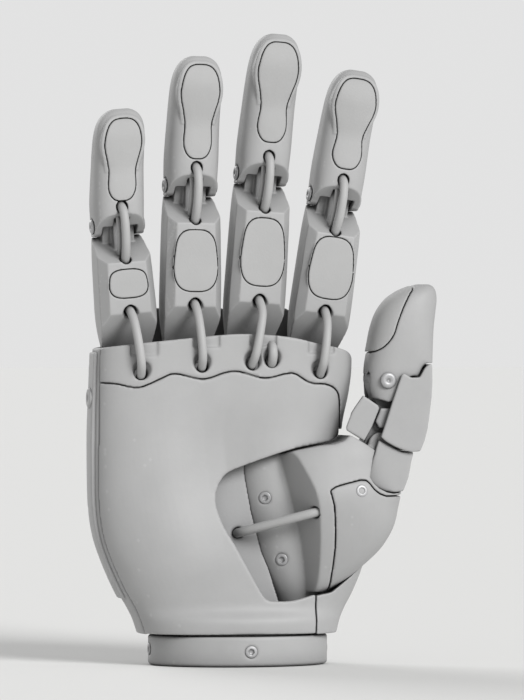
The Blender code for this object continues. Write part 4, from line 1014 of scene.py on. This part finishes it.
def back_shell():
    shell = palm_shell("back_shell")
    cut(shell, front_region(GAP))
    keep(shell, through(below(refine(KNUCKLE_LINE), 10.0)))
    room = [(16.0, 78.6), (16.0, 26.0), *[(x, z + GAP) for x, z in WRIST_COVER_TOP[1:]],
            (70.0, 45.0), (70.0, 78.6)]
    cut(shell, prism("thumb_room", room, "y", -40.0, 9.6))
    for x in GUARD_CENTRES:
        left = [(x - half, z) for z, half in GUARD_HALF]
        right = [(x + half, z) for z, half in reversed(GUARD_HALF)]
        add(shell, prism("tab", left + right, "y", *GUARD_DEPTH))
    groove = prism("groove", BACK_PANEL, "y", 4.0, 40.0)
    cut(groove, prism("inner", inset(BACK_PANEL, 1.1), "y", 3.0, 41.0))
    cut(groove, palm_loft("floor", -1.1))
    return cut(shell, groove)


def radial_wrist_cover():
    cover = palm_shell("radial_wrist_cover")
    keep(cover, front_region())
    outline = [(WRIST_COVER_LEFT, 10.0), *WRIST_COVER_TOP, (52.0, 10.0)]
    return keep(cover, through(outline))


def ulnar_rail():
    rail = palm_loft("ulnar_rail", RAIL_STEP)
    cut(rail, palm_loft("inside", -0.5))
    keep(rail, box("field", (-60.0, RAIL_DEPTH[0], RAIL_BOTTOM), (-30.0, RAIL_DEPTH[1], 101.5)))
    return cut(rail, box("seam", (-60.0, -8.0, RAIL_SEAM - 0.3), (-48.4, 8.0, RAIL_SEAM + 0.3)))


def wrist_cuff():
    rings = [cuff_ring(z, grow) for z, grow in ((0.0, -0.4), (0.5, 0.0), (CUFF_HEIGHT - 0.5, 0.0),
                                                (CUFF_HEIGHT, -0.4))]
    cuff = loft("wrist_cuff", rings)
    cut(cuff, loft("inside", [cuff_ring(z, -CUFF_WALL) for z in (CUFF_FLOOR, CUFF_HEIGHT + 1.0)]))
    for place, direction in CUFF_SCREWS:
        cut(cuff, lathe("seat", SCREW_SEAT, place, direction))
    return cuff


def thenar_plate():
    outline = [(-14.0, 66.0), (-14.0, 40.0), (-3.0, 19.5), (15.0, 19.5), (22.0, 21.5), (6.0, 66.0)]
    plate = prism("thenar_plate", outline, "y", -6.6, -4.4)
    rows = [(s, r + GAP) for s, r in BARREL]
    ends = [(rows[0][0] - DRUM_REACH, rows[0][1]), (rows[-1][0] + DRUM_REACH, rows[-1][1])]
    cut(plate, turned("room", [ends[0], *rows, ends[1]]))
    cut(plate, box("beyond", (20.5, -10.0, 15.0), (40.0, 0.0, 30.0)))
    cut(plate, turned("swing_room", [(-38.0, 13.8), (-12.0, 13.8)]))
    return cut(plate, rod("hole", (-3.0, -9.0, 42.2), (1.4, -2.0, 43.6), 1.75))


def build_palm():
    skins = {
        "wrist_cuff": (wrist_cuff(), "shell", 0.35, 5),
        "palm_cover": (palm_cover(), "shell", 0.45, 6),
        "knuckle_band": (knuckle_band(), "shell", 0.4, 5),
        "back_shell": (back_shell(), "shell", 0.45, 6),
        "radial_wrist_cover": (radial_wrist_cover(), "shell", 0.4, 5),
        "ulnar_rail": (ulnar_rail(), "shell", 0.35, 8),
        "thenar_plate": (thenar_plate(), "frame", 0.35, 4),
    }
    for node, (item, kind, voxel, passes) in skins.items():
        skin(item, "palm", kind, node, voxel, passes)
    for number, (place, direction) in enumerate(CUFF_SCREWS, 1):
        socket_screw(f"cuff_screw_{number}", place, direction, "palm")
    boss = lathe("ulnar_boss", BOSS_ROWS, (-48.4, -0.6, BOSS_HEIGHT), (-1.0, 0.0, 0.0), SCREW_SIDES)
    dress(boss, "palm", "shell")
    peg = [(PEG_X, -10.4, 97.4), (PEG_X, -12.6, 97.9), (PEG_X, -14.3, 99.4), (PEG_X, -14.8, 101.2),
           (PEG_X, -13.9, 102.9), (PEG_X, -11.8, 104.0)]
    dress(tube("tendon_peg_stub", peg, THUMB_CORD_RADIUS), "palm", "cord", ("tendon_peg",))


# Thumb --------------------


def barrel_spot(x, z):
    """The place and normal on the rotor drum's palm side at x, z."""
    along = (x - AXLE_POINT.x) * AXLE_DIRECTION.x + (z - AXLE_POINT.z) * AXLE_DIRECTION.z
    radius = next(
        r + (s2 - s) and r + (r2 - r) * (along - s) / (s2 - s)
        for (s, r), (s2, r2) in zip(BARREL, BARREL[1:]) if s <= along <= s2
    )
    across = Vector((AXLE_DIRECTION.z, 0.0, -AXLE_DIRECTION.x))
    centre = AXLE_POINT + AXLE_DIRECTION * along
    sine = ((x - centre.x) * across.x + (z - centre.z) * across.z) / radius
    normal = across * sine - Vector((0.0, math.sqrt(1.0 - sine * sine), 0.0))
    return centre + normal * radius, normal


def base_foot():
    """The area under the wrist cover's edge, which the ball of the thumb follows at a seam's width."""
    return below([(x, z + GAP) for x, z in WRIST_COVER_TOP], 10.0)


def thumb_base():
    """The ball of the thumb, its flat inner face and the rotor drum behind it."""
    body = base_loft("thumb_base")
    normal = FACE_EDGE.cross(FACE_DIRECTION).normalized()
    corners = [FACE_POINT + FACE_DIRECTION * u + FACE_EDGE * v
               for u, v in ((-40, -60), (60, -60), (60, 60), (-40, 60))]
    away = -normal if normal.x > 0 else normal
    cut(body, loft("flat", [corners, [c + away * 60.0 for c in corners]]))
    cut(body, through(above(BASE_TOP, 120.0)))
    cut(body, through(base_foot()))
    drum = turned("drum", refine(BARREL))
    cut(drum, box("rear", (-30.0, 5.2, 0.0), (60.0, 40.0, 100.0)))
    add(body, drum)
    for x, z in DRUM_SCREWS:
        place, outward = barrel_spot(x, z)
        cut(body, lathe("seat", SCREW_SEAT, place, outward))
    return body


def thumb_pieces():
    """The pieces that turn with the rotor: the base, its panel and the lower cover."""
    body = thumb_base()
    panel = base_loft("thumb_base_panel")
    keep(panel, prism("limit", inset(BASE_PANEL, GAP), "y", -40.0, PANEL_BACK))
    cut(panel, through(base_foot()))
    cut(panel, base_loft("back", -PANEL_WALL))
    pivot = MCP_PIVOT.xz
    cut(body, across("room", grown(LOWER_COVER, GAP), 30.0))
    root = [(43.0, 61.0), (49.6, 58.0), (40.0, 52.5), (43.4, 52.5)]
    add(body, across("fork", hull(circle(pivot, 4.7) + root), FORK_HALF))
    pocket = prism("pocket", BASE_PANEL, "y", -40.0, PANEL_BACK + GAP)
    cut(pocket, base_loft("floor", -PANEL_WALL - GAP))
    cut(body, pocket)
    cut(body, across("slot", circle(pivot, 7.2, sides=FINE), TONGUE_LOW + GAP))
    cut(body, rod("cord_hole", (16.0, -20.2, 48.4), (29.0, -21.3, 51.4), CORD_HOLE))
    cover = across("thumb_lower_cover", LOWER_COVER, LOWER_HALF)
    inside = [(30.0, 50.0), (50.6, 50.0), (52.6, 64.0), (53.4, 80.0), (30.0, 80.0)]
    cut(cover, across("inside", inside, LOWER_ROOM))
    return body, panel, cover


def thumb_frame():
    """The bar between the thumb's two hinges."""
    bar = across("thumb_frame", WAIST, WAIST_HALF)
    low = hull(circle(MCP_PIVOT.xz, 5.6) + [(42.6, 79.0), (52.0, 79.0)])
    high = hull(circle(IP_PIVOT.xz, 5.4) + [(45.0, 80.0), (53.0, 80.0)])
    return add(add(bar, across("low", low, TONGUE_LOW)), across("high", high, TONGUE_HIGH))


def thumb_block():
    """The small cuff over the inner side of the bar, cut back where it passes the palm's edge."""
    front, rear = BLOCK_DEPTH
    right = max(x for x, _ in BLOCK)
    far = [(x + BLOCK_SKEW * min(1.0, (right - x) / 5.0), rear, z) for x, z in BLOCK]
    block = loft("thumb_block", [[(x, front, z) for x, z in BLOCK], far])
    room = across("room", grown(WAIST, GAP), WAIST_HALF + GAP)
    hinge_room = hull(circle(MCP_PIVOT.xz, 6.1, sides=FINE) + [(41.8, 80.7), (52.0, 80.7)])
    cut(block, add(room, across("hinge_room", hinge_room, TONGUE_LOW + 2 * GAP)))
    return cut(block, box("palm_room", (20.0, -10.0, 60.0), (36.8, 10.0, 100.0)))


def thumb_outer_cover():
    cover = across("thumb_outer_cover", OUTER_COVER, OUTER_HALF)
    inside = [(30.0, 60.0), (55.0, 60.0), (55.7, 69.4), (57.0, 72.8), (58.1, 77.0), (58.9, 82.8),
              (59.4, 87.0), (59.6, 92.0), (59.6, 104.0), (30.0, 104.0)]
    return cut(cover, across("inside", inside, OUTER_ROOM))


def thumb_tip():
    tip = tip_loft("thumb_tip")
    cut(tip, across("under", below(TIP_BOTTOM, 60.0), 30.0))
    edge = refine(TIP_PAD[:-2]) + TIP_PAD[-2:]
    pocket = across("pocket", edge, 20.0)
    cut(pocket, tip_loft("floor", -PAD_SINK - GAP))
    cut(tip, pocket)
    slot = hull(circle(IP_PIVOT.xz, 5.9, sides=FINE) + [(30.0, 80.0), (54.5, 80.0)])
    cut(tip, across("slot", slot, TONGUE_HIGH + GAP))
    pad = tip_loft("thumb_tip_pad", PAD_STEP)
    keep(pad, across("limit", inset(edge, GAP), 20.0))
    return tip, cut(pad, tip_loft("back", -PAD_SINK))


def build_thumb():
    body, panel, cover = thumb_pieces()
    panel_spot = front_spot(panel, *PANEL_SCREW)
    bar, block, outer = thumb_frame(), thumb_block(), thumb_outer_cover()
    tip, pad = thumb_tip()
    for item, rider, kind, node, voxel, passes in (
        (body, "thumb_base", "shell", "thumb_base", 0.4, 6),
        (panel, "thumb_base", "shell", "thumb_base_panel", 0.35, 5),
        (cover, "thumb_base", "shell", "thumb_lower_cover", 0.32, 5),
        (bar, "thumb_proximal", "frame", "thumb_frame", 0.32, 5),
        (block, "thumb_proximal", "shell", "thumb_block", 0.32, 5),
        (outer, "thumb_proximal", "shell", "thumb_outer_cover", 0.32, 5),
        (tip, "thumb_distal", "shell", "thumb_tip", 0.35, 6),
        (pad, "thumb_distal", "pad", "thumb_tip_pad", 0.3, 5),
    ):
        skin(item, rider, kind, node, voxel, passes)

    for number, (x, z) in enumerate(DRUM_SCREWS, 1):
        place, outward = barrel_spot(x, z)
        socket_screw(f"drum_screw_{number}", place, outward, "thumb_base")
    socket_screw("panel_screw", *panel_spot, "thumb_base")
    for number, side in enumerate((-1, 1), 1):
        seat = (IP_PIVOT.x, THUMB_PLANE + side * (CHEEK_HALF - 0.1), IP_PIVOT.z)
        cap = lathe(f"thumb_upper_cap_{number}", PIVOT_CAP, seat, (0.0, side, 0.0), SCREW_SIDES)
        dress(cap, "thumb_proximal", "steel")
    reach = Vector((0.0, CHEEK_HALF, 0.0))
    pin = rod("thumb_upper_shaft", IP_PIVOT - reach, IP_PIVOT + reach, 1.4)
    dress(pin, "thumb_proximal", "steel", ("thumb_upper_pin",))
    for name, place, rider in (("lower_cover_screw", LOWER_SCREW, "thumb_base"),
                               ("outer_cover_screw", OUTER_SCREW, "thumb_proximal")):
        socket_screw(name, place, (1.0, 0.0, 0.0), rider)
    route = [(-1.5, -5.2, 42.5), (-0.3, -9.6, 43.2), (5.0, -13.8, 44.9), (12.0, -17.6, 47.0),
             (18.6, -20.2, 48.9), (21.8, -20.7, 49.7), (25.4, -21.0, 50.5)]
    bend_cord("thumb_tendon", route, THUMB_CORD_RADIUS, "thumb_cord")


# Studio --------------------


def studio():
    """A wide pale floor, a soft key from the front right and a plain pale surround."""
    corners = [(x * FLOOR_REACH, y * FLOOR_REACH, FLOOR_LEVEL)
               for x, y in ((-1.0, -1.0), (1.0, -1.0), (1.0, 1.0), (-1.0, 1.0))]
    floor = solid("floor", corners, [(0, 1, 2, 3)])
    paint = bpy.data.materials.new("floor_paint")
    paint.use_nodes = True
    shader = paint.node_tree.nodes["Principled BSDF"]
    shader.inputs["Base Color"].default_value = FLOOR_COLOUR
    shader.inputs["Roughness"].default_value = FLOOR_ROUGHNESS
    floor.data.materials.append(paint)

    for name, direction, strength, spread in LIGHTS:
        light = bpy.data.lights.new(name, "SUN")
        light.energy = strength
        light.angle = math.radians(spread)
        lamp = bpy.data.objects.new(name, light)
        lamp.rotation_euler = Vector(direction).to_track_quat("Z", "Y").to_euler()
        bpy.context.collection.objects.link(lamp)

    world = bpy.data.worlds.new("surround")
    world.use_nodes = True
    tree = world.node_tree
    rays = add_node(tree, "LightPath")
    level = add_node(tree, "Mix", {"A": SURROUND, "B": BACKDROP}, {"Factor": rays.outputs["Is Camera Ray"]})
    background = tree.nodes["Background"]
    background.inputs["Color"].default_value = (1.0, 1.0, 1.0, 1.0)
    tree.links.new(level.outputs["Result"], background.inputs["Strength"])
    bpy.context.scene.world = world
    bpy.context.scene.view_settings.view_transform = "Standard"


def camera():
    """A long lens level with the middle of the hand, a little to its little-finger side."""
    turn = math.radians(VIEW_TURN)
    ahead = Vector((math.sin(turn), math.cos(turn), 0.0))
    lens = bpy.data.cameras.new("camera")
    lens.sensor_fit = "VERTICAL"
    lens.sensor_height = 36.0
    lens.lens = 36.0 * VIEW_DISTANCE / VIEW_HEIGHT
    lens.clip_start = 0.05
    lens.clip_end = 100.0
    item = bpy.data.objects.new("camera", lens)
    item.location = VIEW_TARGET * MM - ahead * VIEW_DISTANCE
    item.rotation_euler = (math.radians(90.0), 0.0, -turn)
    bpy.context.collection.objects.link(item)
    bpy.context.scene.camera = item


def kept_nodes():
    """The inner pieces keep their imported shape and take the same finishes."""
    slots = {entry["node"]: entry["material_slot"] for entry in frame["record"]["subparts"]}
    for name, item in frame["nodes"].items():
        for place in item.material_slots:
            place.material = FINISHES[slots[name]]


camera()
studio()
kept_nodes()
for finger_name, finger_sizes in FINGERS.items():
    build_finger(finger_name, finger_sizes)
build_palm()
build_thumb()
